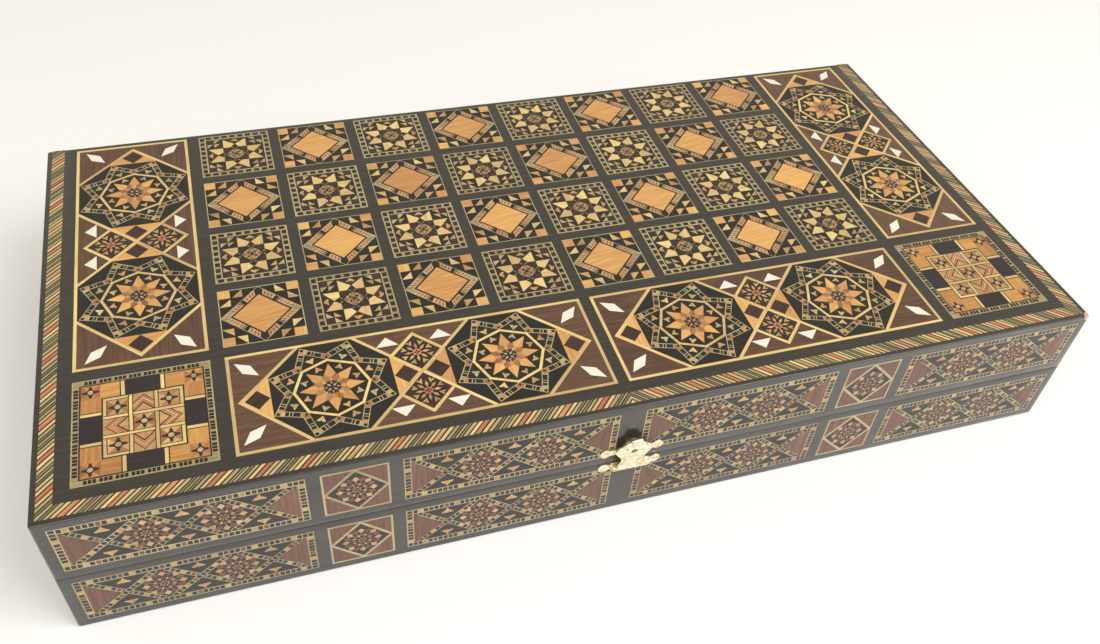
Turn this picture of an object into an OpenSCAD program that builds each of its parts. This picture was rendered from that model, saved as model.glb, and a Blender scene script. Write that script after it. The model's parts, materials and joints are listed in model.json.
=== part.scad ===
// Backgammon case of marquetry on wooden trays: two mirrored halves, hinged along the back and
// held shut by a brass hasp at the front. The origin is the centre of the base's lower face,
// +X runs along the length to the right, +Y to the back (the hinges) and +Z up.

/* [Case] */
// Length of the case, left to right
case_l = 500; // [480:1:560]
// Height of one half
half_h = 38; // [37.5:0.5:44]
// Thickness of the side walls
wall_t = 11; // [10:0.5:13]
// Thickness of the board that closes each half
board_t = 5; // [4:0.5:8]
// Thickness of the ground veneer and of everything inlaid flush in it
veneer_t = 1; // [0.8:0.1:1.5]

/* [Chessboard face] */
// Black edge outside the rope banding
edge_w = 2.5; // [1.5:0.25:3.5]
// Width of the rope banding
rope_w = 6.25; // [5:0.25:8]
// Black strip on each side of the long panels
strip_w = 6.25; // [4:0.25:8]
// Width of the medallion panels and side of the corner squares
panel_w = 57.5; // [52:0.5:60]
// Gap between the squares
square_gap = 5.5; // [4:0.5:7]
// Black strip along the hinge side
back_strip_w = 2.75; // [2:0.25:5]

/* [Edge panels] */
// Length of a lattice panel
lattice_l = 98.75; // [90:0.25:100]
// Length of a small diamond panel
diamond_l = 29; // [24:0.5:29]
// Height of both kinds of panel
edge_panel_h = 29; // [24:0.5:29.5]
// Black strip between two panels
panel_gap = 6; // [4:0.5:7]
// Black strip between the end of the case and the first panel
panel_margin = 5.25; // [4:0.25:7]
// Black strip under the panels of the base
base_margin = 4.5; // [4:0.1:5]
// Black strip over the panels of the lid
lid_margin = 4.2; // [4:0.1:5]

/* [Playing field] */
// Thickness of the playing field inside each tray
field_t = 2; // [1.5:0.5:3]
// Depth of the inlay in the playing field
field_inlay_t = 0.8; // [0.5:0.1:1]
// Length of a point
point_l = 165; // [140:1:175]
// Width across the flats of the octagon in the middle of the field
octagon_w = 86; // [60:1:90]

/* [Hinges] */
// Distance of each hinge from the middle of the case
hinge_x = 150; // [100:1:180]
// Length of a hinge leaf
leaf_l = 25; // [24:1:34]
// Depth of a leaf, from its front edge to the back face
leaf_d = 9; // [8:0.5:9]
// Thickness of a leaf
leaf_t = 1; // [0.8:0.1:1.2]
// Radius of the hinge knuckles
knuckle_r = 2.2; // [2:0.1:2.2]
// Radius of the hinge pins
pin_r = 1; // [0.9:0.05:1.1]

/* [Latch] */
// Place of the latch, to the right of the middle
latch_x = 2; // [-4:0.5:4]
// Thickness of the latch's brass sheet
sheet_t = 0.8; // [0.6:0.1:0.8]
// How far the hasp's pin lies under the rim of the base
hasp_drop = 3; // [3:0.1:3.5]
// Radius of the latch knuckles
latch_knuckle_r = 1.3; // [1.2:0.05:1.3]
// How far the snap stud stands over the rim
stud_rise = 9.5; // [9:0.1:10]

/* [Checkers and dice] */
// Diameter of a checker
checker_d = 32; // [28:0.5:34]
// Thickness of a checker
checker_t = 9; // [7:0.5:9]
// Side of a die
die_w = 10; // [9:0.5:12]

/* [Hidden] */
columns = 8;
rows = 4;
border_w = edge_w + rope_w + strip_w + panel_w + strip_w;
square_w = (case_l - 2 * border_w - (columns - 1) * square_gap) / columns;
pitch = square_w + square_gap;
case_d = border_w + rows * square_w + (rows - 1) * square_gap + back_strip_w;
half_l = case_l / 2;
half_d = case_d / 2;
rim_z = half_h;
board_top = veneer_t + board_t;
field_top = board_top + field_t;
inner_l = case_l - 2 * wall_t;
inner_d = case_d - 2 * wall_t;

mitre_gap = 0.05;
squares_x = -half_l + border_w;
squares_y = -half_d + border_w;
front_panel_l = columns / 2 * square_w + (columns / 2 - 1) * square_gap;
side_panel_l = rows * square_w + (rows - 1) * square_gap;
panel_x = half_l - edge_w - rope_w - strip_w - panel_w;
front_panel_y = -half_d + edge_w + rope_w + strip_w;

// The six panels inlaid along a long wall, or the three along a short one, as starts and lengths
// from the wall's left end.
end_panel_margin = (case_d - 2 * lattice_l - diamond_l - 2 * panel_gap) / 2;
long_half = [
    [panel_margin, lattice_l],
    [panel_margin + lattice_l + panel_gap, diamond_l],
    [panel_margin + lattice_l + 2 * panel_gap + diamond_l, lattice_l]
];
long_panels = concat(long_half, [for (p = long_half) [case_l - p[0] - p[1], p[1]]]);
short_panels = [
    [end_panel_margin, lattice_l],
    [end_panel_margin + lattice_l + panel_gap, diamond_l],
    [end_panel_margin + lattice_l + 2 * panel_gap + diamond_l, lattice_l]
];

points_per_end = 6;
point_pitch = inner_d / points_per_end;
point_w = point_pitch - 3;

fold_gap = 0.5;
hinge_y = half_d + fold_gap / 2;
pin_clearance = 0.05;
knuckle_gap = 0.25;
notch_r = knuckle_r + 0.3;
lid_knuckle_l = leaf_l / 3;
pin_head_t = 0.6;
pin_head_r = 1.7;
leaf_back_y = hinge_y - notch_r;
// The stretches of knuckle on each leaf: the lid's one sits between the base's two.
lid_segment = [[-lid_knuckle_l / 2, lid_knuckle_l / 2]];
base_segments = [
    [-leaf_l / 2, -lid_knuckle_l / 2 - knuckle_gap],
    [lid_knuckle_l / 2 + knuckle_gap, leaf_l / 2]
];
screw_pitch = leaf_l / 3;
screw_y = half_d - 6;
screw_r = 0.8;
screw_l = 8;
screw_head_r = 1.6;
screw_head_t = 0.5;
screw_slot = 0.35;
hole_clearance = 0.05;

hasp_z = rim_z - hasp_drop;
stud_z = rim_z + stud_rise;
face_y = -half_d;
plate_y = face_y - sheet_t;
hasp_y = plate_y - latch_knuckle_r;
latch_pin_r = 0.5;
latch_head_r = 0.9;
latch_head_t = 0.4;
barrel_l = 19;
hasp_knuckle_l = 11;
lobe_x = 13;
lobe_r = 2.7;
lid_lobe_z = rim_z + 7.6;
bridge_h = 3;
stud_r = 1.2;
stud_gap = 0.2;
hasp_in_y = hasp_y - latch_knuckle_r + sheet_t;
stud_h = plate_y - hasp_in_y - stud_gap;
nail_r = 0.5;
nail_l = 5;
nail_head_r = 1.15;
nail_head_t = 0.5;
// Half outline of the hasp above its pin: a skirt that narrows to a neck, then a fan.
hasp_half = [[8, 0], [7.6, 1.6], [6.3, 4.2], [5.8, 6.8], [6.1, 8.6], [7.6, 10.4], [9.1, 12.6],
             [9.2, 14], [8, 15.8], [5.6, 17.4], [3.6, 18.8], [2.7, 20.2]];
hasp_l = hasp_half[len(hasp_half) - 1][1];
curl_w = 5.4;
curl_r = 1.3;
hasp_hole_r = 1.4;

checkers_per_stack = 3;
stacks = 5;
stack_x = inner_l / 2 - checker_d / 2 - 1.5;
checker_rim = 3;
checker_recess = 0.5;
checker_play = 0.05;
die_round = 0.735;
pip_r = 0.9;
pip_depth = 0.4;
// The pips of one face, in units of a quarter of the die's side.
pips = [
    [[0, 0]],
    [[-1, -1], [1, 1]],
    [[-1, -1], [0, 0], [1, 1]],
    [[-1, -1], [-1, 1], [1, -1], [1, 1]],
    [[-1, -1], [-1, 1], [1, -1], [1, 1], [0, 0]],
    [[-1, -1], [-1, 0], [-1, 1], [1, -1], [1, 0], [1, 1]]
];
// How each face is turned so that opposite faces add up to seven.
face_turns = [[0, 0, 0], [90, 0, 0], [0, 90, 0], [0, -90, 0], [-90, 0, 0], [180, 0, 0]];

ebony = "#1b1916";
walnut = "#6e463a";
maple = "#e8cd82";
apricot = "#dea55a";
pear = "#b9845a";
spruce = "#c9a878";
brass = "#d9c27a";

$fn = 48;

// Every half is drawn as the base, outer face down; the lid is its mirror image above the rim.
module as_lid() translate([0, 0, 2 * rim_z]) mirror([0, 0, 1]) children();

module both_ends() for (side = [-1, 1]) translate([side * hinge_x, 0, 0]) children();

// ---- the chessboard face ------------------------------------------------------------------

module plate(x, y, w, d) translate([x, y]) square([w, d]);

// Squares with (column + row) odd or even, counted from the front left corner.
module squares_2d(parity)
    for (i = [0 : columns - 1], j = [0 : rows - 1])
        if ((i + j) % 2 == parity)
            plate(squares_x + i * pitch, squares_y + j * pitch, square_w, square_w);

module front_medallions_2d()
    for (side = [0, 1])
        plate(squares_x + side * columns / 2 * pitch, front_panel_y, front_panel_l, panel_w);

module side_medallion_2d(side)
    plate(side < 0 ? -panel_x - panel_w : panel_x, squares_y, panel_w, side_panel_l);

module corner_squares_2d()
    for (x = [-panel_x - panel_w, panel_x]) plate(x, front_panel_y, panel_w, panel_w);

// A border strip between two distances from the edge, on three sides and open at the hinges.
module open_border_2d(outer, inner) {
    difference() {
        plate(-half_l + outer, -half_d + outer, case_l - 2 * outer, case_d - outer);
        plate(-half_l + inner, -half_d + inner, case_l - 2 * inner, case_d);
    }
}

// The rope banding is three strips that meet in mitres at the front corners: side is -1 for the
// left strip, 0 for the front one and 1 for the right one.
module rope_side_2d(side) {
    x0 = half_l - edge_w;
    y0 = -half_d + edge_w;
    if (side == 0)
        polygon([[-x0 + mitre_gap, y0], [x0 - mitre_gap, y0],
                 [x0 - rope_w - mitre_gap, y0 + rope_w], [-x0 + rope_w + mitre_gap, y0 + rope_w]]);
    else
        polygon([[side * x0, y0], [side * x0, half_d], [side * (x0 - rope_w), half_d],
                 [side * (x0 - rope_w), y0 + rope_w]]);
}

module veneer() linear_extrude(veneer_t) children();

module ground_veneer() veneer() difference() {
    plate(-half_l, -half_d, case_l, case_d);
    squares_2d(0);
    squares_2d(1);
    front_medallions_2d();
    side_medallion_2d(-1);
    side_medallion_2d(1);
    corner_squares_2d();
    open_border_2d(edge_w, edge_w + rope_w);
}

module rope_banding() for (side = [-1, 0, 1]) veneer() rope_side_2d(side);

// ---- boards and walls ---------------------------------------------------------------------

module board() translate([-inner_l / 2, -inner_d / 2, veneer_t]) cube([inner_l, inner_d, board_t]);

// A mitred wall along the front, outer face down the -Y side, for a case side of length l.
module mitred_wall(l, half_span)
    translate([0, 0, veneer_t]) linear_extrude(half_h - veneer_t)
        polygon([[-l / 2, -half_span], [l / 2, -half_span],
                 [l / 2 - wall_t, -half_span + wall_t], [-l / 2 + wall_t, -half_span + wall_t]]);

module wall_panels(panels, l, half_span, margin)
    for (p = panels)
        translate([-l / 2 + p[0], -half_span, margin]) cube([p[1], veneer_t, edge_panel_h]);

module front_panels(margin) wall_panels(long_panels, case_l, half_d, margin);
module back_panels(margin) rotate([0, 0, 180]) front_panels(margin);
module left_panels(margin)
    rotate([0, 0, -90]) wall_panels(short_panels, case_d, half_l, margin);
module right_panels(margin)
    rotate([0, 0, 90]) wall_panels(short_panels, case_d, half_l, margin);

module front_wall(margin) difference() {
    mitred_wall(case_l, half_d);
    front_panels(margin);
}

// The back wall is let out for the hinge leaves, their knuckles and screws.
module back_wall(margin) difference() {
    rotate([0, 0, 180]) mitred_wall(case_l, half_d);
    back_panels(margin);
    both_ends() {
        translate([-leaf_l / 2, half_d - leaf_d, rim_z - leaf_t]) cube([leaf_l, leaf_d + 1, leaf_t + 1]);
        along_x(leaf_l + 2 * pin_head_t + 0.6, notch_r);
        screw_places() translate([0, 0, -screw_l])
            cylinder(r = screw_r + hole_clearance, h = screw_l + 1);
    }
}

module left_wall(margin) difference() {
    rotate([0, 0, -90]) mitred_wall(case_d, half_l);
    left_panels(margin);
}

module right_wall(margin) difference() {
    rotate([0, 0, 90]) mitred_wall(case_d, half_l);
    right_panels(margin);
}

// ---- playing field ------------------------------------------------------------------------

// The points stand on both short ends of the tray; parity picks every other one.
module points_2d(parity)
    for (i = [0 : points_per_end - 1], side = [-1, 1])
        if ((i + (side + 1) / 2) % 2 == parity)
            translate([side * inner_l / 2, -inner_d / 2 + (i + 0.5) * point_pitch])
                polygon([[0, -point_w / 2], [0, point_w / 2], [-side * point_l, 0]]);

module octagon_2d() circle(d = octagon_w / cos(22.5), $fn = 8);

module field_inlay() translate([0, 0, field_top - field_inlay_t])
    linear_extrude(field_inlay_t) children();

module playing_field() difference() {
    translate([-inner_l / 2, -inner_d / 2, board_top]) cube([inner_l, inner_d, field_t]);
    translate([0, 0, field_top - field_inlay_t]) linear_extrude(field_inlay_t + 1) {
        points_2d(0);
        points_2d(1);
        rotate([0, 0, 22.5]) octagon_2d();
    }
}

// ---- hinges -------------------------------------------------------------------------------

// A cylinder on the fold axis, centred on x = 0.
module along_x(l, r) translate([-l / 2, hinge_y, rim_z]) rotate([0, 90, 0]) cylinder(r = r, h = l);

module screw_places() for (i = [-1, 0, 1]) translate([i * screw_pitch, screw_y, rim_z]) children();

module knuckle(x0, x1) translate([(x0 + x1) / 2, 0, 0]) along_x(x1 - x0, knuckle_r);

module tongue(x0, x1)
    translate([x0, leaf_back_y - 0.1, rim_z - leaf_t]) cube([x1 - x0, notch_r + 0.1, leaf_t]);

// Each segment is a stretch of knuckle with the tongue that carries it.
module leaf(segments) difference() {
    union() {
        translate([-leaf_l / 2, half_d - leaf_d, rim_z - leaf_t])
            cube([leaf_l, leaf_back_y - half_d + leaf_d, leaf_t]);
        for (s = segments) {
            knuckle(s[0], s[1]);
            tongue(s[0], s[1]);
        }
    }
    along_x(leaf_l + 2, pin_r + pin_clearance);
    screw_places() {
        translate([0, 0, -leaf_t - 1]) cylinder(r = screw_r + hole_clearance, h = leaf_t + 2);
        translate([0, 0, -screw_head_t]) cylinder(r = screw_head_r + hole_clearance, h = 1);
    }
}

module base_leaf(side) translate([side * hinge_x, 0, 0]) leaf(base_segments);
module lid_leaf(side) as_lid() translate([side * hinge_x, 0, 0]) leaf(lid_segment);

module hinge_pin(side) translate([side * hinge_x, 0, 0]) {
    along_x(leaf_l, pin_r);
    for (end = [-1, 1])
        translate([end * (leaf_l + pin_head_t) / 2, 0, 0]) along_x(pin_head_t, pin_head_r);
}

module screw() difference() {
    union() {
        translate([0, 0, -screw_l]) cylinder(r = screw_r, h = screw_l - screw_head_t);
        translate([0, 0, -screw_head_t]) cylinder(r = screw_head_r, h = screw_head_t);
    }
    translate([-screw_head_r - 1, -screw_slot / 2, -screw_slot])
        cube([2 * screw_head_r + 2, screw_slot, 1]);
}

module hinge_screws() both_ends() screw_places() screw();

// ---- latch --------------------------------------------------------------------------------

// Turns a drawing in x and z into a sheet of thickness t standing in front of the plane y.
module sheet(y, t) translate([latch_x, y, 0]) rotate([90, 0, 0]) linear_extrude(t) children();

module latch_along_x(l, r)
    translate([latch_x - l / 2, hasp_y, hasp_z]) rotate([0, 90, 0]) cylinder(r = r, h = l);

module lobes_2d(z) {
    for (side = [-1, 1]) translate([side * lobe_x, z]) circle(r = lobe_r);
    translate([-lobe_x, z - bridge_h / 2]) square([2 * lobe_x, bridge_h]);
}

module nail_holes(z)
    for (side = [-1, 1])
        translate([latch_x + side * lobe_x, face_y - 2, z]) rotate([-90, 0, 0])
            cylinder(r = nail_r + hole_clearance, h = nail_l + 2);

module nails(z)
    for (side = [-1, 1])
        translate([latch_x + side * lobe_x, plate_y, z]) rotate([-90, 0, 0]) {
            cylinder(r = nail_r, h = nail_l);
            translate([0, 0, -nail_head_t]) cylinder(r1 = nail_head_r / 2, r2 = nail_head_r, h = nail_head_t);
        }

module latch_base_plate() difference() {
    union() {
        sheet(face_y, sheet_t) {
            lobes_2d(hasp_z);
            translate([-barrel_l / 2, hasp_z - lobe_r]) square([barrel_l, 2 * lobe_r]);
        }
        for (side = [-1, 1]) translate([side * (hasp_knuckle_l + barrel_l) / 4, 0, 0]) {
            l = (barrel_l - hasp_knuckle_l) / 2 - 0.2;
            latch_along_x(l, latch_knuckle_r);
            translate([latch_x - l / 2, hasp_y, hasp_z - latch_knuckle_r / 2])
                cube([l, plate_y - hasp_y + sheet_t / 2, latch_knuckle_r]);
        }
    }
    latch_along_x(barrel_l + 2, latch_pin_r + pin_clearance);
    nail_holes(hasp_z);
}

module latch_lid_plate() {
    difference() {
        sheet(face_y, sheet_t) {
            lobes_2d(lid_lobe_z);
            translate([0, stud_z - 0.5]) circle(r = 5);
        }
        nail_holes(lid_lobe_z);
    }
    translate([latch_x, plate_y + 0.1, stud_z]) rotate([90, 0, 0]) {
        cylinder(r = stud_r, h = stud_h - stud_r + 0.1);
        translate([0, 0, stud_h - stud_r + 0.1]) sphere(r = stud_r);
    }
}

module hasp_2d() {
    n = len(hasp_half);
    polygon(concat(hasp_half, [for (i = [1 : n]) [-hasp_half[n - i][0], hasp_half[n - i][1]]]));
}

module latch_hasp() difference() {
    union() {
        latch_along_x(hasp_knuckle_l, latch_knuckle_r);
        translate([0, 0, hasp_z]) sheet(hasp_in_y, sheet_t) hasp_2d();
        translate([latch_x - curl_w / 2, hasp_in_y - curl_r, hasp_z + hasp_l]) rotate([0, 90, 0])
            cylinder(r = curl_r, h = curl_w);
    }
    latch_along_x(barrel_l + 2, latch_pin_r + pin_clearance);
    for (side = [-1, 1])
        translate([side * (hasp_knuckle_l + barrel_l) / 4, 0, 0])
            latch_along_x((barrel_l - hasp_knuckle_l) / 2 + 0.2, latch_knuckle_r + 0.15);
    translate([latch_x, hasp_in_y + 1, stud_z]) rotate([90, 0, 0])
        cylinder(r = hasp_hole_r, h = sheet_t + 2);
}

module latch_pin() {
    latch_along_x(barrel_l, latch_pin_r);
    for (end = [-1, 1])
        translate([end * (barrel_l + latch_head_t) / 2, 0, 0])
            latch_along_x(latch_head_t, latch_head_r);
}

// ---- checkers and dice --------------------------------------------------------------------

module checker() difference() {
    cylinder(d = checker_d, h = checker_t);
    translate([0, 0, checker_t - checker_recess])
        cylinder(d = checker_d - 2 * checker_rim, h = checker_recess + 1);
}

module checkers(side)
    for (i = [0 : stacks - 1], k = [0 : checkers_per_stack - 1])
        translate([side * stack_x, -inner_d / 2 + (i + 0.5) * point_pitch,
                   field_top + k * (checker_t + checker_play)]) checker();

module die() translate([0, 0, die_w / 2]) difference() {
    intersection() {
        cube(die_w, center = true);
        sphere(r = die_w * die_round);
    }
    for (f = [0 : 5]) rotate(face_turns[f]) for (p = pips[f])
        translate([p[0] * die_w / 4, p[1] * die_w / 4, die_w / 2 - pip_depth])
            cylinder(r = pip_r, h = 1, $fn = 24);
}

// The dice lie at the left end, on the one point there that carries no stack.
module dice() translate([-stack_x, (inner_d - point_pitch) / 2, field_top]) {
    translate([-8, -2, 0]) rotate([0, 0, 24]) die();
    translate([8, 3, 0]) rotate([0, 0, -38]) die();
}

// ---- nodes --------------------------------------------------------------------------------

color(spruce) board();  // base_board
color(ebony) ground_veneer();  // base_ground_veneer
color(maple) veneer() squares_2d(0);  // base_star_squares
color(apricot) veneer() squares_2d(1);  // base_diamond_squares
color(walnut) veneer() front_medallions_2d();  // base_front_medallions
color(walnut) veneer() side_medallion_2d(-1);  // base_left_medallion
color(walnut) veneer() side_medallion_2d(1);  // base_right_medallion
color(apricot) veneer() corner_squares_2d();  // base_corner_squares
color(maple) rope_banding();  // base_rope_banding
color(ebony) difference() {  // base_front_wall
    front_wall(base_margin);
    nail_holes(hasp_z);
}
color(ebony) back_wall(base_margin);  // base_back_wall
color(ebony) left_wall(base_margin);  // base_left_wall
color(ebony) right_wall(base_margin);  // base_right_wall
color(pear) front_panels(base_margin);  // base_front_panels
color(pear) back_panels(base_margin);  // base_back_panels
color(pear) {  // base_end_panels
    left_panels(base_margin);
    right_panels(base_margin);
}
color(walnut) playing_field();  // base_playing_field
color(maple) field_inlay() points_2d(0);  // base_light_points
color(ebony) field_inlay() points_2d(1);  // base_dark_points
color(pear) field_inlay()  // base_field_octagon
    rotate([0, 0, 22.5]) octagon_2d();

color(spruce) as_lid() board();  // lid_board
color(ebony) as_lid() ground_veneer();  // lid_ground_veneer
color(maple) as_lid() veneer() squares_2d(1);  // lid_star_squares
color(apricot) as_lid() veneer() squares_2d(0);  // lid_diamond_squares
color(walnut) as_lid() veneer()  // lid_front_medallions
    front_medallions_2d();
color(walnut) as_lid() veneer()  // lid_left_medallion
    side_medallion_2d(-1);
color(walnut) as_lid() veneer()  // lid_right_medallion
    side_medallion_2d(1);
color(apricot) as_lid() veneer()  // lid_corner_squares
    corner_squares_2d();
color(maple) as_lid() rope_banding();  // lid_rope_banding
color(ebony) difference() {  // lid_front_wall
    as_lid() front_wall(lid_margin);
    nail_holes(lid_lobe_z);
}
color(ebony) as_lid() back_wall(lid_margin);  // lid_back_wall
color(ebony) as_lid() left_wall(lid_margin);  // lid_left_wall
color(ebony) as_lid() right_wall(lid_margin);  // lid_right_wall
color(pear) difference() {  // lid_front_panels
    as_lid() front_panels(lid_margin);
    nail_holes(lid_lobe_z);
}
color(pear) as_lid() back_panels(lid_margin);  // lid_back_panels
color(pear) as_lid() {  // lid_end_panels
    left_panels(lid_margin);
    right_panels(lid_margin);
}
color(walnut) as_lid() playing_field();  // lid_playing_field
color(maple) as_lid() field_inlay() points_2d(1);  // lid_light_points
color(ebony) as_lid() field_inlay() points_2d(0);  // lid_dark_points
color(pear) as_lid() field_inlay()  // lid_field_octagon
    rotate([0, 0, 22.5]) octagon_2d();

color(brass) base_leaf(-1);  // base_hinge_leaf_left
color(brass) base_leaf(1);  // base_hinge_leaf_right
color(brass) lid_leaf(-1);  // lid_hinge_leaf_left
color(brass) lid_leaf(1);  // lid_hinge_leaf_right
color(brass) hinge_pin(-1);  // hinge_pin_left
color(brass) hinge_pin(1);  // hinge_pin_right
color(brass) hinge_screws();  // base_hinge_screws
color(brass) as_lid() hinge_screws();  // lid_hinge_screws

color(brass) latch_base_plate();
color(brass) latch_lid_plate();
color(brass) latch_hasp();
color(brass) latch_pin();
color(brass) nails(hasp_z);  // latch_base_nails
color(brass) nails(lid_lobe_z);  // latch_lid_nails

color(walnut) checkers(-1);  // dark_checkers
color(maple) checkers(1);  // light_checkers
color("ivory") dice();
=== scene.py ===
"""Backgammon case in geometric marquetry: its inlay, woods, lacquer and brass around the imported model."""

import json
import math
import random

import bmesh
import bpy
from mathutils import Matrix, Quaternion, Vector, noise
from mathutils.geometry import delaunay_2d_cdt


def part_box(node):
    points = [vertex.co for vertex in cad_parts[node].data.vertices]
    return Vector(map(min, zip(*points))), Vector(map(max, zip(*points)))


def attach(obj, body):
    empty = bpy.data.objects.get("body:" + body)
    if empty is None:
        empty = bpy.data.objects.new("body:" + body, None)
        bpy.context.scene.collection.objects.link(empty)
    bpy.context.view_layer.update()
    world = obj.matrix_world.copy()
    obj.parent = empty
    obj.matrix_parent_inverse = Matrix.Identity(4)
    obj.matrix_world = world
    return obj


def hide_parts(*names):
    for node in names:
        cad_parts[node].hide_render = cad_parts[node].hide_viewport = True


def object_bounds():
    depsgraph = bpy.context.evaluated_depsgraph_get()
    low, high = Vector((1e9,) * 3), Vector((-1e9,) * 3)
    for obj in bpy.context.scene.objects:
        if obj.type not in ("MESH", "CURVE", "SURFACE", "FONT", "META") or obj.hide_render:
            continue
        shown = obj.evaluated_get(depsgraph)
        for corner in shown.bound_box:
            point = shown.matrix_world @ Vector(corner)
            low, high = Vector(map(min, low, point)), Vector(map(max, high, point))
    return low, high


MM = 0.001

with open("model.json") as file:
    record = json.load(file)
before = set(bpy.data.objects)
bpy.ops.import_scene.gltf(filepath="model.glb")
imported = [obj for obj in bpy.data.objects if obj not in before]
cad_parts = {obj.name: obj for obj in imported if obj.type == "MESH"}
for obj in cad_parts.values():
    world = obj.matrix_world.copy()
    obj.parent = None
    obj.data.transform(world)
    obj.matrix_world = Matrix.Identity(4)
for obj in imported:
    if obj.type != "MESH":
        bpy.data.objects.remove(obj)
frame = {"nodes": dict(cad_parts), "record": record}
cad_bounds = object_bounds()
scene = bpy.context.scene
random_source = random.Random(12)
noise.seed_set(12)


# ---------------------------------------------------------------- the layout, read from the frame

def box_mm(node):
    """Lowest and highest corner of a CAD node in millimetres."""
    low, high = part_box(node)
    return low / MM, high / MM


CASE_LOW, CASE_HIGH = box_mm("base_ground_veneer")[0], box_mm("lid_ground_veneer")[1]
BACK_Y = box_mm("base_back_wall")[1].y
RIM_Z = box_mm("lid_front_wall")[0].z
VENEER = box_mm("base_ground_veneer")[1].z
SQUARE_BOXES = [box_mm(f"base_{kind}_squares") for kind in ("star", "diamond")]
SQUARES_LOW = Vector([min(low[axis] for low, _ in SQUARE_BOXES) for axis in (0, 1)])
SQUARES_HIGH = Vector([max(high[axis] for _, high in SQUARE_BOXES) for axis in (0, 1)])
COLUMNS, ROWS = 8, 4
PITCH = ((SQUARES_HIGH.x - SQUARES_LOW.x) - (SQUARES_HIGH.y - SQUARES_LOW.y)) / (COLUMNS - ROWS)
SQUARE = (SQUARES_HIGH.x - SQUARES_LOW.x) - (COLUMNS - 1) * PITCH
SQUARE_GAP = PITCH - SQUARE


# ---------------------------------------------------------------- outlines in millimetres

def polar(radius, degrees, centre=(0.0, 0.0)):
    angle = math.radians(degrees)
    return (centre[0] + radius * math.cos(angle), centre[1] + radius * math.sin(angle))


def rectangle(x0, y0, x1, y1):
    return [(x0, y0), (x1, y0), (x1, y1), (x0, y1)]


def centred(width, height, centre=(0.0, 0.0)):
    x, y = centre
    return rectangle(x - width / 2, y - height / 2, x + width / 2, y + height / 2)


def regular(sides, radius, turn=0.0, centre=(0.0, 0.0)):
    return [polar(radius, turn + i * 360 / sides, centre) for i in range(sides)]


def star(tips, outer, inner, turn=0.0, centre=(0.0, 0.0)):
    return [polar(inner if i % 2 else outer, turn + i * 180 / tips, centre) for i in range(2 * tips)]


def kite(tip, side, half_angle, tail, turn, centre=(0.0, 0.0)):
    """A kite on the ray at turn degrees: its tip and tail lie on the ray, its sides half_angle from it."""
    return [polar(tip, turn, centre), polar(side, turn + half_angle, centre),
            polar(tail, turn, centre), polar(side, turn - half_angle, centre)]


def wedge(apex, base, half_width, turn, centre=(0.0, 0.0)):
    """A triangle on the ray at turn degrees, with its apex and the middle of its base on the ray."""
    return turned([(apex, 0.0), (base, half_width), (base, -half_width)], turn, centre)


def turned(outline, degrees, shift=(0.0, 0.0)):
    c, s = math.cos(math.radians(degrees)), math.sin(math.radians(degrees))
    return [(c * x - s * y + shift[0], s * x + c * y + shift[1]) for x, y in outline]


def scaled(outline, x_factor, y_factor):
    return [(x * x_factor, y * y_factor) for x, y in outline]


def scaled_at(outline, x_factor, y_factor, centre):
    return [(x * x_factor + centre[0], y * y_factor + centre[1]) for x, y in outline]


def band(start, end, width, beyond=0.0):
    """A strip of that width along the line from start to end, reaching beyond both ends."""
    start, end = Vector(start), Vector(end)
    along = (end - start).normalized()
    across = Vector((-along.y, along.x)) * width / 2
    start, end = start - along * beyond, end + along * beyond
    return [tuple(p) for p in (start - across, end - across, end + across, start + across)]


def heading(start, end):
    return math.degrees(math.atan2(end[1] - start[1], end[0] - start[0]))


def between(start, end, share):
    return (start[0] + (end[0] - start[0]) * share, start[1] + (end[1] - start[1]) * share)


def is_inside(x, y, outline):
    inside = False
    for (ax, ay), (bx, by) in zip(outline, outline[1:] + outline[:1]):
        if (ay > y) != (by > y) and x < ax + (bx - ax) * (y - ay) / (by - ay):
            inside = not inside
    return inside


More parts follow.
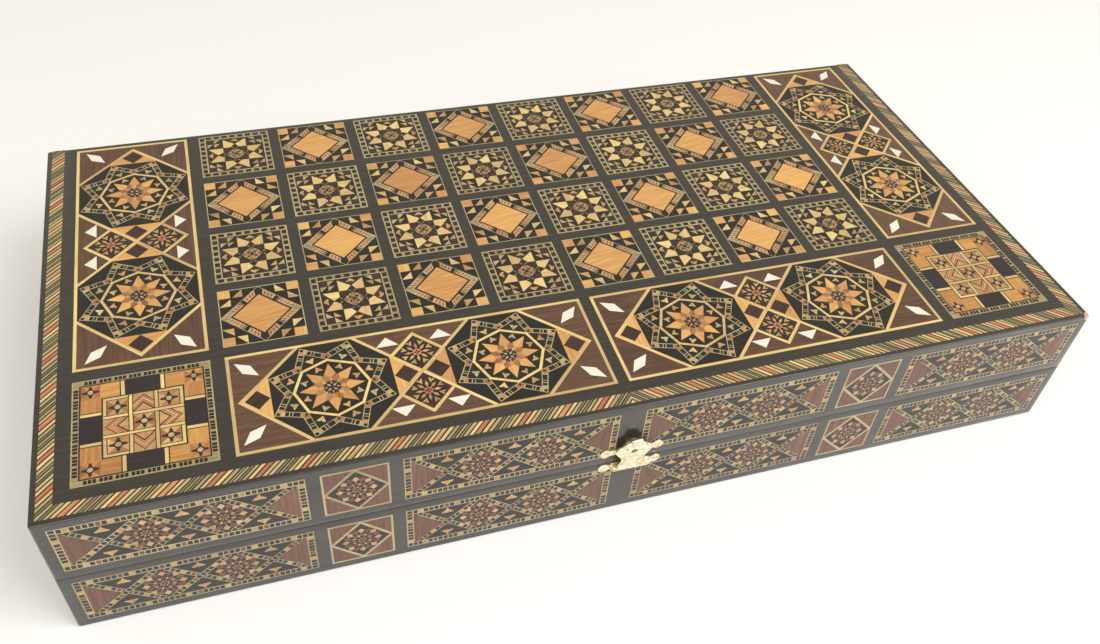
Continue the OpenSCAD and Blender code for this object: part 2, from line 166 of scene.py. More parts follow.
class Inlay:
    """A sheet of marquetry, in which each piece of wood covers those before it. The first is the sheet."""

    def __init__(self, outline, wood, grain=0.0):
        self.pieces = []
        self.outline = outline
        self.parts = None
        self.cut(wood, outline, grain)

    def divided(self):
        """The sheet's points, and its triangles, each with the number of the piece on top."""
        if self.parts is None:
            points, outlines = [], []
            for _, outline, _ in self.pieces:
                outlines.append(list(range(len(points), len(points) + len(outline))))
                points.extend(Vector(p) for p in outline)
            verts, _, triangles, _, _, _ = delaunay_2d_cdt(points, [], outlines, 0, 1e-4, True)
            boxes = [(min(x for x, _ in o), max(x for x, _ in o), min(y for _, y in o), max(y for _, y in o))
                     for _, o, _ in self.pieces]
            self.parts = verts, []
            for triangle in triangles:
                x, y = (sum(verts[i][axis] for i in triangle) / 3 for axis in (0, 1))
                on_top = next((i for i, (low_x, high_x, low_y, high_y) in reversed(list(enumerate(boxes)))
                               if low_x <= x <= high_x and low_y <= y <= high_y
                               and is_inside(x, y, self.pieces[i][1])), None)
                if on_top is not None and is_inside(x, y, self.outline):
                    self.parts[1].append((triangle, on_top))
        return self.parts

    def cut(self, wood, outline, grain=0.0):
        area = sum(a[0] * b[1] - b[0] * a[1] for a, b in zip(outline, outline[1:] + outline[:1]))
        self.pieces.append((wood, outline if area > 0 else outline[::-1], grain))

    def strip(self, wood, start, end, width, beyond=0.0):
        self.cut(wood, band(start, end, width, beyond), heading(start, end))

    def border(self, wood, half_x, half_y, width):
        """Four strips just inside the rectangle that reaches half_x and half_y from the centre."""
        x, y = half_x - width / 2, half_y - width / 2
        for side in (-1, 1):
            self.strip(wood, (-half_x, side * y), (half_x, side * y), width)
        for side in (-1, 1):
            self.strip(wood, (side * x, width - half_y), (side * x, half_y - width), width)

    def cells(self, woods, outer, inner, count, rail, divider):
        """A row of cells between two lines, with rails and dividers of the wood underneath left showing."""
        for i in range(count):
            first, last = (i + divider / 2) / count, (i + 1 - divider / 2) / count
            corners = [between(between(*outer, t), between(*inner, t), s)
                       for t, s in ((first, rail), (last, rail), (last, 1 - rail), (first, 1 - rail))]
            self.cut(woods[i % len(woods)], corners, heading(*outer) + 90)

    def ladder(self, rail_wood, woods, start, end, width, pitch, rail, divider):
        """A strip of light wood with a row of darker cells in it."""
        self.strip(rail_wood, start, end, width)
        edge = band(start, end, width)
        length = (Vector(end) - Vector(start)).length
        self.cells(woods, (edge[0], edge[1]), (edge[3], edge[2]), round(length / pitch), rail, divider)

    def ladder_border(self, woods, half_x, half_y, width, pitch, rail, divider):
        """A row of cells just inside the rectangle that reaches half_x and half_y from the centre."""
        for side in range(4):
            run, level = (half_x, half_y) if side % 2 == 0 else (half_y, half_x)
            count = round((2 * run - width) / pitch)
            outer = turned([(-run, -level), (run - width, -level)], 90 * side)
            inner = turned([(-run, width - level), (run - width, width - level)], 90 * side)
            self.cells(woods, outer, inner, count, rail, divider)


# ---------------------------------------------------------------- patterns

LADDER_TIP, LADDER_NOTCH, LADDER_WIDTH, LADDER_RAIL = 28.7, 20.7, 3.1, 0.42
LADDER_RUNGS = (0.05, 0.2, 0.38, 0.5, 0.82)


def ladder_star(sheet, centre):
    """The eight-pointed ladder that frames a medallion's star."""
    tip, notch = Vector(polar(LADDER_TIP, 22.5)), Vector((LADDER_NOTCH, 0.0))
    reach = abs(tip.x * notch.y - tip.y * notch.x) / (tip - notch).length

    def outline(inset):
        share = 1 - inset / reach
        return star(8, LADDER_TIP * share, LADDER_NOTCH * share, 22.5, centre)

    for wood, inset in (("cream", 0.0), ("ebony", LADDER_RAIL), ("cream", LADDER_WIDTH - LADDER_RAIL),
                        ("ebony", LADDER_WIDTH)):
        sheet.cut(wood, outline(inset))
    middle = outline(LADDER_WIDTH / 2)
    for i in range(16):
        ends = middle[i], middle[(i + 1) % 16]
        start, end = ends[::-1] if i % 2 else ends
        edge = band(start, end, LADDER_WIDTH - 2 * LADDER_RAIL)
        outer, inner = (edge[0], edge[1]), (edge[3], edge[2])
        for first, last, wood in ((0.05, 0.2, "tan"), (0.82, 0.97, "copper")):
            sheet.cut(wood, [between(*outer, first), between(*outer, last), between(*inner, last),
                             between(*inner, first)], heading(start, end) + 90)
        for rung in LADDER_RUNGS:
            sheet.strip("cream", between(*outer, rung), between(*inner, rung), LADDER_RAIL)


def medallion_star(sheet, centre):
    """The sun inside the octagon, and the small triangles around both."""
    tips = [45 * i for i in range(8)]
    for tip in tips:
        sheet.cut(("tan", "cream", "lemon")[tip // 45 % 3], wedge(16.8, 20.0, 2.2, tip + 22.5, centre), tip)
        sheet.cut("ebony", wedge(19.3, 20.05, 0.6, tip + 22.5, centre))
    sheet.cut("lemon", regular(8, 17.4, 0, centre), 30)
    sheet.cut("ebony", regular(8, 16.0, 0, centre))
    for tip in tips:
        sheet.cut(("tan", "cream")[tip // 45 % 2], wedge(14.4, 11.3, 1.9, tip + 22.5, centre), tip)
        sheet.cut("ebony", wedge(12.0, 11.2, 0.6, tip + 22.5, centre))
    for tip in tips:
        sheet.cut("apricot", kite(14.4, 8.4, 18.5, 5.0, tip, centre), tip)
    for tip in tips:
        sheet.cut("copper", kite(8.5, 6.3, 17.0, 3.0, tip + 22.5, centre), tip)
    for tip in tips:
        sheet.cut("tan", kite(6.9, 5.0, 13.0, 3.0, tip, centre), tip + 90)
    sheet.cut("plum", regular(8, 3.7, 22.5, centre))
    for tip in tips[::2]:
        sheet.cut("cream", kite(3.1, 1.8, 19.0, 0.7, tip + 45, centre), tip)
        sheet.cut("tan", wedge(3.3, 2.2, 0.6, tip, centre), tip)


def rosette(sheet, centre, radius, ground, petal, dark, heart):
    """A small round flower: two rings of light petals, parted by dark ones, around a star."""
    rays = [45 * i for i in range(8)]
    sheet.cut(ground, regular(16, radius * 1.05, 11.25, centre))
    for ray in rays:
        sheet.cut(petal, wedge(radius * 0.6, radius * 0.97, radius * 0.2, ray + 22.5, centre), ray)
        sheet.cut(dark, wedge(radius * 0.86, radius * 0.99, radius * 0.07, ray + 22.5, centre), ray)
        sheet.cut(dark, kite(radius * 1.04, radius * 0.8, 9.0, radius * 0.5, ray, centre), ray)
    for ray in rays:
        sheet.cut(petal, kite(radius * 0.78, radius * 0.52, 12.0, radius * 0.28, ray, centre), ray)
    sheet.cut(heart, star(8, radius * 0.36, radius * 0.24, 0, centre), 30)
    for ray in rays[::2]:
        sheet.cut(dark, kite(radius * 0.24, radius * 0.13, 30.0, 0.1, ray, centre), ray)


def wheel(sheet, centre, radius):
    """The edge panels' flower: light and brown kites in two rings around a dark star."""
    sheet.cut("ebony", regular(16, radius * 1.02, 11.25, centre))
    rays = [45 * i for i in range(8)]
    for ray in rays:
        sheet.cut("blush", kite(radius, radius * 0.84, 12.0, radius * 0.6, ray, centre), ray + 90)
        sheet.cut("rosewood", kite(radius * 0.98, radius * 0.82, 11.0, radius * 0.52, ray + 22.5, centre),
                  ray)
    for ray in rays:
        sheet.cut("rosewood", kite(radius * 0.62, radius * 0.47, 14.0, radius * 0.3, ray, centre), ray)
        sheet.cut("blush", kite(radius * 0.53, radius * 0.43, 9.0, radius * 0.3, ray + 22.5, centre), ray)
    sheet.cut("ebony", star(8, radius * 0.33, radius * 0.24, 0, centre))
    for ray in rays:
        sheet.cut("tan", wedge(radius * 0.27, radius * 0.14, radius * 0.05, ray + 22.5, centre), ray)
    sheet.cut("russet", regular(8, radius * 0.1, 0, centre))


def medallion(length, height):
    """The long panel: two suns in hexagons, with two small diamonds where they meet."""
    half_x, half_y = length / 2, height / 2
    frame_w, strip_w = 1.5, 1.55
    top, apex = half_y - 1.75, half_x - 4.25
    sun_x, apex_depth, rosette_y = half_x - 43.75, 13.0, 12.0
    sheet = Inlay(centred(length, height), "walnut")
    for side in (-1, 1):
        far, near = side * (apex - top), side * top
        sheet.cut("ebony", [(side * apex, 0), (far, top), (near, top), (0, 0), (near, -top), (far, -top)])
        for x, inward in ((side * apex, -side), (0.0, side)):
            back_x = x + inward * apex_depth
            sheet.cut("apricot", [(x, 0), (back_x, apex_depth), (back_x, -apex_depth)], 90)
            sheet.cut("plum", regular(4, 5.5, 0, (x + inward * 7.3, 0)), 45)
        ladder_star(sheet, (side * sun_x, 0.0))
        medallion_star(sheet, (side * sun_x, 0.0))
        sheet.cut("plum", regular(4, rosette_y, 0, (0, side * rosette_y)))
        rosette(sheet, (0, side * rosette_y), 7.6, "ebony", "tan", "plum", "coral")
        for x in (-rosette_y, rosette_y):
            sheet.strip("lemon", (x, side * rosette_y), (0, side * 2 * rosette_y), strip_w, strip_w / 2)
    for side in (-1, 1):
        for up in (-1, 1):
            sheet.strip("lemon", (side * apex, 0), (side * (apex - top), up * top), strip_w, strip_w / 2)
            sheet.strip("lemon", (0, 0), (side * top, up * top), strip_w, strip_w / 2)
            pearl_x, pearl_y = side * 12.5, up * 18.8
            sheet.cut("pearl", [(pearl_x, up * 24.4), (pearl_x - 5.2, pearl_y), (pearl_x + 5.2, pearl_y)])
            outer, inner = (side * 80.6, up * 23.8), (side * 70.6, up * 14.4)
            middle = band(between(outer, inner, 0.5), inner, 5.6)
            sheet.cut("pearl", [outer, middle[0], inner, middle[3]])
    sheet.border("lemon", half_x, half_y, frame_w)
    return sheet


def star_square(size):
    """The chessboard's busy square: a ladder around an eight-pointed star of kites."""
    half = size / 2
    sheet = Inlay(centred(size, size), "cream")
    sheet.cut("khaki", centred(size - 0.9, size - 0.9))
    dark = ("ebony", "plum", "ebony", "ebony", "indigo")
    sheet.ladder_border(dark, half - 0.5, half - 0.5, width=2.7, pitch=4.25, rail=0.08, divider=0.34)
    sheet.cut("cream", centred(size - 6.4, size - 6.4))
    field = half - 3.7
    sheet.cut("ebony", centred(2 * field, 2 * field))
    cell = 3.7
    near, far = field - 2 * cell - 0.3, field - 0.3
    middle = far - cell
    kite_outline = [(6.2, 14.2), (6.2, 6.5), (2.3, 6.5), (0.3, 9.5)]
    slivers = {-1: [(-2.4, 12.3), (2.4, 12.3), (0, 14.4)], 1: [(1.5, 11.7), (3.9, 14.5), (-1.0, 14.5)]}
    crown = [(2.5, 12.35), (3.9, 14.6), (-3.9, 14.6), (-2.5, 12.35), (-1.2, 13.9), (0, 14.5), (1.2, 13.9)]
    for quarter in range(4):
        def place(outline, flip=1):
            return turned(scaled(outline, flip, 1), 90 * quarter)
        sheet.cut("plum", place([(-6.4, far), (6.4, far), (0, 8.0)]))
        for flip, sliver in slivers.items():
            sheet.cut("lemon", place(kite_outline, flip), 90 * quarter + 90)
            sheet.cut("tan", place(sliver), 90 * quarter)
        sheet.cut("ebony", place(crown))
        sheet.cut("plum", place(centred(3.5, 3.5, (4.5, 4.6))), 90)
        sheet.cut("plum", place(centred(cell, cell, (far - cell / 2, far - cell / 2))), 30)
        for x, y in ((near, near), (middle, near), (near, middle)):
            side = cell - 0.35
            outline = [(x + side, y + side), (x, y + side), (x + side, y)]
            sheet.cut("tan" if x == y else "cream", place(outline), 90 * quarter)
        for x, y, wood in ((0.0, 5.0, "plum"), (0.0, 2.1, "olive"), (1.6, 1.6, "ebony"),
                           (3.1, 1.1, "copper"), (1.1, 3.1, "copper")):
            sheet.cut(wood, place(regular(4, 1.35, 0, (x, y))))
        for x, y, turn in ((0.0, 4.3, 0), (1.9, 2.9, 45), (2.9, 1.9, 225), (0.95, 0.95, 45),
                           (2.2, 0.2, 90), (1.2, 6.0, 0), (-1.2, 6.0, 180)):
            sheet.cut("cream" if x > 1.5 else "olive", place(regular(3, 0.85, turn, (x, y))))
    return sheet


def diamond_square(size):
    """The chessboard's plain square: an apricot diamond in a striped band, with triangles in the corners."""
    half = size / 2
    sheet = Inlay(centred(size, size), "cream")
    sheet.cut("ebony", centred(size - 0.9, size - 0.9))
    near, far = half - 5.7, half - 0.45
    step, leg_x = 11.4, 4.7
    for quarter in range(4):
        sheet.cut("apricot", turned(rectangle(near, near, far, far), 90 * quarter), 90 * quarter)
        for flip in (False, True):
            triangle = [(half - step, near), (half - step, far), (half - step + leg_x, near)]
            outline = [(y, x) for x, y in triangle] if flip else triangle
            sheet.cut("tan" if flip else "lemon", turned(outline, 90 * quarter), 90 * quarter)
    edge, gap = half - 0.2, 5.0
    outer, inner = regular(4, edge, 90), regular(4, edge - gap, 90)
    sheet.cut("cream", outer)
    for side in range(4):
        ends = [(outer[side], inner[side]), (outer[(side + 1) % 4], inner[(side + 1) % 4])]
        if side % 2:
            ends.reverse()
        lines = (ends[0][0], ends[1][0]), (ends[0][1], ends[1][1])
        grain = heading(*lines[0])

        def cell(wood, first, last, rail=0.09):
            corners = [between(between(*lines[0], t), between(*lines[1], t), s)
                       for t, s in ((first, rail), (last, rail), (last, 1 - rail), (first, 1 - rail))]
            sheet.cut(wood, corners, grain + 90)

        cell("indigo", 0.0, 0.1)
        cell("ebony", 0.0, 1.0, 0.93)
        for wood, first, last in (("blush", 0.11, 0.41), ("ebony", 0.425, 0.485),
                                  ("olive", 0.495, 0.54), ("blush", 0.555, 0.83), ("cream", 0.83, 1.0)):
            cell(wood, first, last)
        for first in (0.155, 0.59, 0.845):
            for bar in range(3):
                start = first + bar * 0.085
                cell("russet", start, min(start + 0.03, 1.0), 0.24)
    sheet.cut("ebony", regular(4, edge - gap + 0.35, 90))
    sheet.cut("apricot", regular(4, 13.0, 90), 10)
    return sheet


def flower(sheet, centre, grounds, size):
    """A dark four-petalled flower on a light square that is two woods, split across its corners."""
    sheet.cut(grounds[0], centred(size, size, centre), 45)
    for side in (-1, 1):
        halves = [(0, 0), (side * size / 2, size / 2), (side * size / 2, -size / 2)]
        sheet.cut(grounds[1], turned(halves, 0, centre), 45)
    sheet.cut("indigo", star(4, size * 0.46, size * 0.21, 0, centre))
    for quarter in range(4):
        sheet.cut("indigo", kite(size * 0.49, size * 0.36, 15.0, size * 0.2, 90 * quarter, centre))
    sheet.cut("cream", regular(12, size * 0.15, 0, centre))


def chevron(sheet, wood, half_width, apex, thickness, turn):
    """A stripe that points outward along the ray at turn degrees."""
    heel = apex - half_width * 1.05
    outline = [(apex, 0), (heel, half_width), (heel - thickness, half_width), (apex - thickness, 0),
               (heel - thickness, -half_width), (heel, -half_width)]
    sheet.cut(wood, turned(outline, turn), turn + 45)


def corner_square(size):
    """The corner square: a woven block of nine cells inside rectangles and flowers."""
    half = size / 2
    sheet = Inlay(centred(size, size), "cream")
    sheet.cut("khaki", centred(size - 1.1, size - 1.1))
    group_pitch, bar_w, bar_step, bars_per_group = 6.1, 1.35, 1.75, 3
    groups = int((size - 3.0) // group_pitch)
    first = -groups * group_pitch / 2 + 0.7
    for side in range(4):
        for i in range(groups):
            for bar in range(bars_per_group):
                start = first + i * group_pitch + bar * bar_step
                outline = rectangle(start, half - 2.65, start + bar_w, half - 0.6)
                sheet.cut("ebony", turned(outline, 90 * side), 90 * side)
    sheet.cut("ebony", centred(size - 6.0, size - 6.0))
    field = half - 3.6
    flower_w, bar_x, black_x, inner_y = 7.8, 8.2, 7.2, 16.9
    sheet.cut("tan", centred(2 * field, 2 * field), 0)
    sheet.cut("ebony", centred(2 * inner_y, 2 * inner_y))
    for quarter in range(4):
        for flip in (-1, 1):
            def place(x0, y0, x1, y1):
                return turned(scaled(rectangle(x0, y0, x1, y1), flip, 1), 90 * quarter)
            sheet.cut("honey", place(bar_x, inner_y + 0.4, field - flower_w, field), 90 * quarter)
            sheet.cut("ebony", place(black_x, inner_y, bar_x + 1.2, field))
            sheet.cut("lemon", place(black_x + 0.2, inner_y, bar_x + 0.7, field), 90 * quarter + 90)
        sheet.cut("indigo", turned(rectangle(-black_x, inner_y, black_x, field), 90 * quarter))
        centre = turned([(field - flower_w / 2, field - flower_w / 2)], 90 * quarter)[0]
        flower(sheet, centre, ("honey", "copper"), flower_w)
    cell, strip_w, line_w = 8.3, 1.3, 0.4
    step = cell + strip_w + 2 * line_w
    weave = cell / 2 + line_w + strip_w / 2
    block = 1.5 * cell + 2 * strip_w + 3 * line_w
    sheet.cut("ebony", centred(2 * block + 2 * line_w, 2 * block + 2 * line_w))
    for quarter in range(4):
        corner = turned([(step, step)], 90 * quarter)[0]
        ring = cell + 2 * strip_w + 2 * line_w
        sheet.cut("lemon", centred(ring, ring, corner), 90 * quarter)
        sheet.cut("ebony", centred(cell + 2 * line_w, cell + 2 * line_w, corner))
        flower(sheet, corner, ("tan", "copper") if quarter % 2 else ("copper", "tan"), cell)
        between_flowers = rectangle(cell / 2 + line_w, -cell / 2, block, cell / 2)
        sheet.cut("tan", turned(between_flowers, 90 * quarter), 90 * quarter)
        for wood, apex, thickness in (("ebony", 15.6, 5.4), ("coral", 15.1, 1.4), ("lemon", 13.5, 0.8),
                                      ("coral", 12.4, 1.4)):
            chevron(sheet, wood, cell / 2, apex, thickness, 90 * quarter)
    for top, bottom in ((block, -block), (block - strip_w, strip_w - weave)):
        for quarter in range(4):
            ends = turned([(-weave, top), (-weave, bottom)], 90 * quarter)
            for wood, width in (("ebony", strip_w + 2 * line_w), ("lemon", strip_w)):
                sheet.strip(wood, *ends, width)
    flower(sheet, (0, 0), ("tan", "copper"), cell)
    return sheet


# One period of the rope banding, as woods and widths along it.
ROPE = (("lemon", 1.7), ("ebony", 0.9), ("cream", 1.6), ("ebony", 0.8), ("olive", 1.0), ("ebony", 0.8),
        ("cream", 0.9), ("ebony", 0.8), ("olive", 1.0), ("ebony", 0.8), ("cream", 1.6), ("ebony", 0.9),
        ("lemon", 1.7), ("ebony", 0.9), ("coral", 2.2), ("ebony", 0.9))
ROPE_REDS = ("coral", "coral", "coral", "blush")
ROPE_PERIOD = sum(width for _, width in ROPE)


def rope_stripes(start, end, width, source):
    """Stripes of rope banding as (wood, outline), leaning like a slash and clipped at start and end."""
    stripes = []
    position, index = start - width - ROPE_PERIOD, 0
    while position < end:
        wood, stripe = ROPE[index % len(ROPE)]
        stripe *= source.uniform(0.85, 1.15)
        if wood == "coral":
            wood = source.choice(ROPE_REDS)
        outline = [(position, 0), (position + stripe, 0), (position + stripe + width, width),
                   (position + width, width)]
        clipped = clip_between(outline, start, end)
        if len(clipped) > 2:
            stripes.append((wood, clipped))
        position += stripe
        index += 1
    return stripes


def clip_between(outline, start, end):
    """The part of a convex outline with x from start to end."""
    for limit, keep in ((start, lambda x: x >= start), (end, lambda x: x <= end)):
        kept = []
        for a, b in zip(outline, outline[1:] + outline[:1]):
            if keep(a[0]):
                kept.append(a)
            if keep(a[0]) != keep(b[0]):
                kept.append((limit, a[1] + (b[1] - a[1]) * (limit - a[0]) / (b[0] - a[0])))
        outline = kept
    return outline


def lattice_panel(length, height):
    """The long edge panel: crossed ladders with rosettes between them."""
    half_x, half_y = length / 2, height / 2
    inset = 3.4
    sheet = Inlay(centred(length, height), "cream")
    dark = ("ebony", "plum", "ebony", "tan", "ebony", "rosewood", "ebony")
    sheet.ladder_border(dark, half_x - 0.2, half_y - 0.2,
                        width=inset - 0.4, pitch=2.4, rail=0.1, divider=0.2)
    field_x, field_y = half_x - inset, half_y - inset
    sheet.cut("ebony", centred(2 * field_x, 2 * field_y))
    crossings = (-half_x + 19.0, 0.0, half_x - 19.0)
    reach = 13.3
    for side in (-1, 1):
        end_triangle = [(side * field_x, field_y), (side * field_x, -field_y), (side * (half_x - 16.0), 0)]
        sheet.cut("rosewood", end_triangle, 90)
        wheel(sheet, (side * 15.2, 0), 9.5)
    bell = [(0, 10.8), (-0.8, 9.2), (-2.8, 7.6), (-2.8, 6.9), (2.8, 6.9), (2.8, 7.6), (0.8, 9.2)]
    for x in crossings:
        for up in (-1, 1):
            sheet.cut("tan" if x else "blush", scaled_at(bell, 1.0, up, (x, 0.0)), 90)
        for lean in (-1, 1):
            sheet.ladder("cream", dark, (x - reach, -lean * field_y), (x + reach, lean * field_y),
                         width=2.7, pitch=2.4, rail=0.12, divider=0.2)
    sheet.border("cream", field_x + 0.45, field_y + 0.45, 0.45)
    return sheet


def edge_diamond(size):
    """The small edge panel: a rosette in a diamond."""
    half = size / 2
    sheet = Inlay(centred(size, size), "rosewood", 90)
    sheet.cut("cream", regular(4, half, 0))
    sheet.cut("ebony", regular(4, half - 1.9, 0))
    wheel(sheet, (0, 0), 9.0)
    sheet.border("cream", half, half, 0.9)
    return sheet


def field_octagon(width):
    """The ornament in the middle of a playing field."""
    radius = width / 2 / math.cos(math.radians(22.5))
    sheet = Inlay(regular(8, radius, 22.5), "lemon")
    sheet.cut("ebony", regular(8, radius - 1.6, 22.5))
    outer, inner = regular(8, radius - 2.0, 22.5), regular(8, radius - 6.0, 22.5)
    sheet.cut("cream", outer)
    for i in range(8):
        j = (i + 1) % 8
        sheet.cells(("ebony", "plum", "copper"), (outer[i], outer[j]), (inner[i], inner[j]), 9, 0.12, 0.3)
    sheet.cut("walnut", inner, 20)
    ladder_star(sheet, (0, 0))
    medallion_star(sheet, (0, 0))
    for i in range(8):
        centre = polar(31.5, 45 * i, (0, 0))
        sheet.cut("pearl", kite(3.4, 1.7, 60, -3.4, 45 * i, centre), 45 * i)
    return sheet


def field_point(length, width, line, edge, heart, petal):
    """A point of the playing field, its base at x = 0: a line inside its edge, a flower and diamonds."""
    slope = width / 2 / length

    def inset(depth):
        side = depth * math.hypot(1.0, slope)
        half_base = width / 2 - side - depth * slope
        return [(depth, -half_base), (length - side / slope, 0.0), (depth, half_base)]

    sheet = Inlay(inset(0.0), edge)
    sheet.cut(line, inset(0.7))
    sheet.cut(edge, inset(1.7))
    sheet.cut(heart, inset(2.1))
    flower_x, flower_r = 12.5, 6.4
    sheet.cut(line, regular(8, flower_r + 1.2, 22.5, (flower_x, 0.0)))
    rosette(sheet, (flower_x, 0.0), flower_r, edge, petal, edge, "coral")
    for x, reach in ((28.0, 5.6), (41.0, 4.6), (52.0, 3.6)):
        sheet.cut(line, scaled_at(regular(4, reach, 0), 1.0, 0.55, (x, 0.0)))
        sheet.cut(edge, scaled_at(regular(4, reach - 1.3, 0), 1.0, 0.55, (x, 0.0)))
    return sheet


# ---------------------------------------------------------------- materials

def linear(red, green, blue):
    """A colour given as 0 to 255 sRGB, in linear light."""
    def convert(value):
        value /= 255
        return value / 12.92 if value <= 0.04045 else ((value + 0.055) / 1.055) ** 2.4
    return (convert(red), convert(green), convert(blue), 1.0)


def node(tree, kind, inputs=None, **properties):
    """A shader node. An input is given as a value, or as the socket that it is linked to."""
    made = tree.nodes.new("ShaderNode" + kind)
    for name, value in properties.items():
        setattr(made, name, value)
    for name, value in (inputs or {}).items():
        if isinstance(value, bpy.types.NodeSocket):
            tree.links.new(value, made.inputs[name])
        else:
            made.inputs[name].default_value = value
    return made


def mixed(tree, factor, first, second, blend="MIX"):
    """Two colours mixed by a factor."""
    made = tree.nodes.new("ShaderNodeMix")
    made.data_type = "RGBA"
    made.blend_type = blend
    for index, value in ((0, factor), (6, first), (7, second)):
        if isinstance(value, bpy.types.NodeSocket):
            tree.links.new(value, made.inputs[index])
        else:
            made.inputs[index].default_value = value
    return made.outputs[2]


def ranged(tree, value, low, high, to_low=0.0, to_high=1.0):
    """A value remapped from one range to another, and held inside it."""
    return node(tree, "MapRange", {"Value": value, "From Min": low, "From Max": high,
                                   "To Min": to_low, "To Max": to_high}).outputs["Result"]


def stretched(tree, vector, scale):
    """A vector scaled along its three axes."""
    return node(tree, "Mapping", {"Vector": vector, "Scale": scale}).outputs["Vector"]


def cloudy(tree, vector, **inputs):
    """The strength of a noise texture at a vector."""
    return node(tree, "TexNoise", {"Vector": vector, **inputs}).outputs["Fac"]


def set_bump(tree, shader, height, strength, distance):
    bump = node(tree, "Bump", {"Height": height, "Strength": strength, "Distance": distance})
    tree.links.new(bump.outputs["Normal"], shader.inputs["Normal"])


def start_material(name):
    material = bpy.data.materials.new(name)
    material.use_nodes = True
    tree = material.node_tree
    return material, tree, tree.nodes["Principled BSDF"]


def coordinates(tree, source):
    """Millimetres along the grain, across it, and a number that tells one piece from the next."""
    if source == "piece":
        return node(tree, "Attribute", attribute_name="grain").outputs["Vector"]
    return stretched(tree, node(tree, "TexCoord").outputs["Object"], (1000, 1000, 1000))


def wood_material(name, colour, dark, figure=0.5, source="piece"):
    """Veneer under thin varnish: long fibres, slow figure, and each piece a little lighter or darker."""
    material, tree, shader = start_material(name)
    grain = coordinates(tree, source)
    fibres = cloudy(tree, stretched(tree, grain, (0.05, 0.75, 3.0)), Scale=1.0, Detail=6.0,
                    Roughness=0.62, Distortion=0.4)
    bands = cloudy(tree, stretched(tree, grain, (0.03, 0.16, 5.0)), Scale=1.0, Detail=2.0, Distortion=1.2)
    pores = cloudy(tree, stretched(tree, grain, (0.35, 3.2, 9.0)), Scale=1.0, Detail=2.0)
    tint = mixed(tree, ranged(tree, fibres, 0.36, 0.66), linear(*dark), linear(*colour))
    broad = mixed(tree, ranged(tree, bands, 0.35, 0.65, 0.0, figure), tint, linear(*dark))
    final = mixed(tree, ranged(tree, pores, 0.62, 0.72, 0.0, 0.55), broad, linear(*dark))
    if source == "piece":
        number = node(tree, "SeparateXYZ", {"Vector": grain}).outputs["Z"]
        tone = node(tree, "TexWhiteNoise", {"W": number}, noise_dimensions="1D").outputs["Value"]
        value = ranged(tree, tone, 0.0, 1.0, 0.82, 1.18)
        hue = ranged(tree, tone, 0.0, 1.0, 0.492, 0.508)
        varied = node(tree, "HueSaturation", {"Color": final, "Value": value, "Hue": hue})
        final = varied.outputs["Color"]
    tree.links.new(final, shader.inputs["Base Color"])
    shader.inputs["Coat Weight"].default_value = 0.35
    shader.inputs["Coat Roughness"].default_value = 0.16
    shader.inputs["Specular IOR Level"].default_value = 0.4
    tree.links.new(ranged(tree, fibres, 0.3, 0.7, 0.5, 0.36), shader.inputs["Roughness"])
    set_bump(tree, shader, fibres, 0.35, 0.0002)
    return material


def black_lacquer(name, colour):
    """Ebonised wood: nearly black, with a faint grain, rubbed patches, dust marks, and a light patch at one
    corner that is part wear and part painted highlight.
    """
    material, tree, shader = start_material(name)
    position = coordinates(tree, "object")
    fibres = cloudy(tree, stretched(tree, position, (0.03, 0.5, 0.5)), Scale=1.0, Detail=5.0)
    rubbed = cloudy(tree, position, Scale=0.05, Detail=4.0)
    speck = cloudy(tree, position, Scale=0.8, Detail=3.0)
    brown = tuple(c * 1.2 + 5 for c in colour)
    tint = mixed(tree, ranged(tree, fibres, 0.4, 0.7), linear(*colour), linear(*brown))
    dusty = mixed(tree, ranged(tree, speck, 0.66, 0.74, 0.0, 0.35), tint, linear(120, 108, 90))
    # A light tan patch at the top-front-right corner: part worn wood, part painted highlight.
    corner = (CASE_HIGH.x, CASE_LOW.y, CASE_HIGH.z)
    away = node(tree, "VectorMath", {0: position, 1: corner}, operation="DISTANCE").outputs["Value"]
    ragged = node(tree, "Math", {0: away, 1: speck}, operation="SUBTRACT").outputs["Value"]
    wear_and_painted_highlight = mixed(tree, ranged(tree, ragged, 2.4, 3.0, 1.0, 0.0), dusty, linear(206, 158, 128))
    tree.links.new(wear_and_painted_highlight, shader.inputs["Base Color"])
    shader.inputs["Coat Weight"].default_value = 0.8
    shader.inputs["Coat Roughness"].default_value = 0.14
    tree.links.new(ranged(tree, rubbed, 0.3, 0.7, 0.32, 0.55), shader.inputs["Roughness"])
    set_bump(tree, shader, cloudy(tree, position, Scale=0.12, Detail=3.0), 0.12, 0.001)
    return material


def mother_of_pearl(name):
    """Shell: milky, with drifting pink and green, and bright under its varnish."""
    material, tree, shader = start_material(name)
    grain = coordinates(tree, "piece")
    cloud = cloudy(tree, stretched(tree, grain, (0.12, 0.3, 3.0)), Scale=1.0, Detail=3.0, Distortion=1.5)
    layers = cloudy(tree, stretched(tree, grain, (0.25, 2.2, 3.0)), Scale=1.0, Detail=2.0)
    cool = mixed(tree, ranged(tree, cloud, 0.4, 0.6), linear(240, 228, 208), linear(226, 230, 216))
    lined = mixed(tree, ranged(tree, layers, 0.5, 0.7, 0.0, 0.5), cool, linear(214, 196, 170))
    shine = mixed(tree, ranged(tree, cloud, 0.55, 0.75, 0.0, 0.7), lined, linear(240, 236, 226))
    tree.links.new(shine, shader.inputs["Base Color"])
    shader.inputs["Coat Weight"].default_value = 0.6
    shader.inputs["Coat Roughness"].default_value = 0.08
    tree.links.new(ranged(tree, cloud, 0.3, 0.7, 0.18, 0.34), shader.inputs["Roughness"])
    set_bump(tree, shader, cloud, 0.1, 0.0005)
    return material


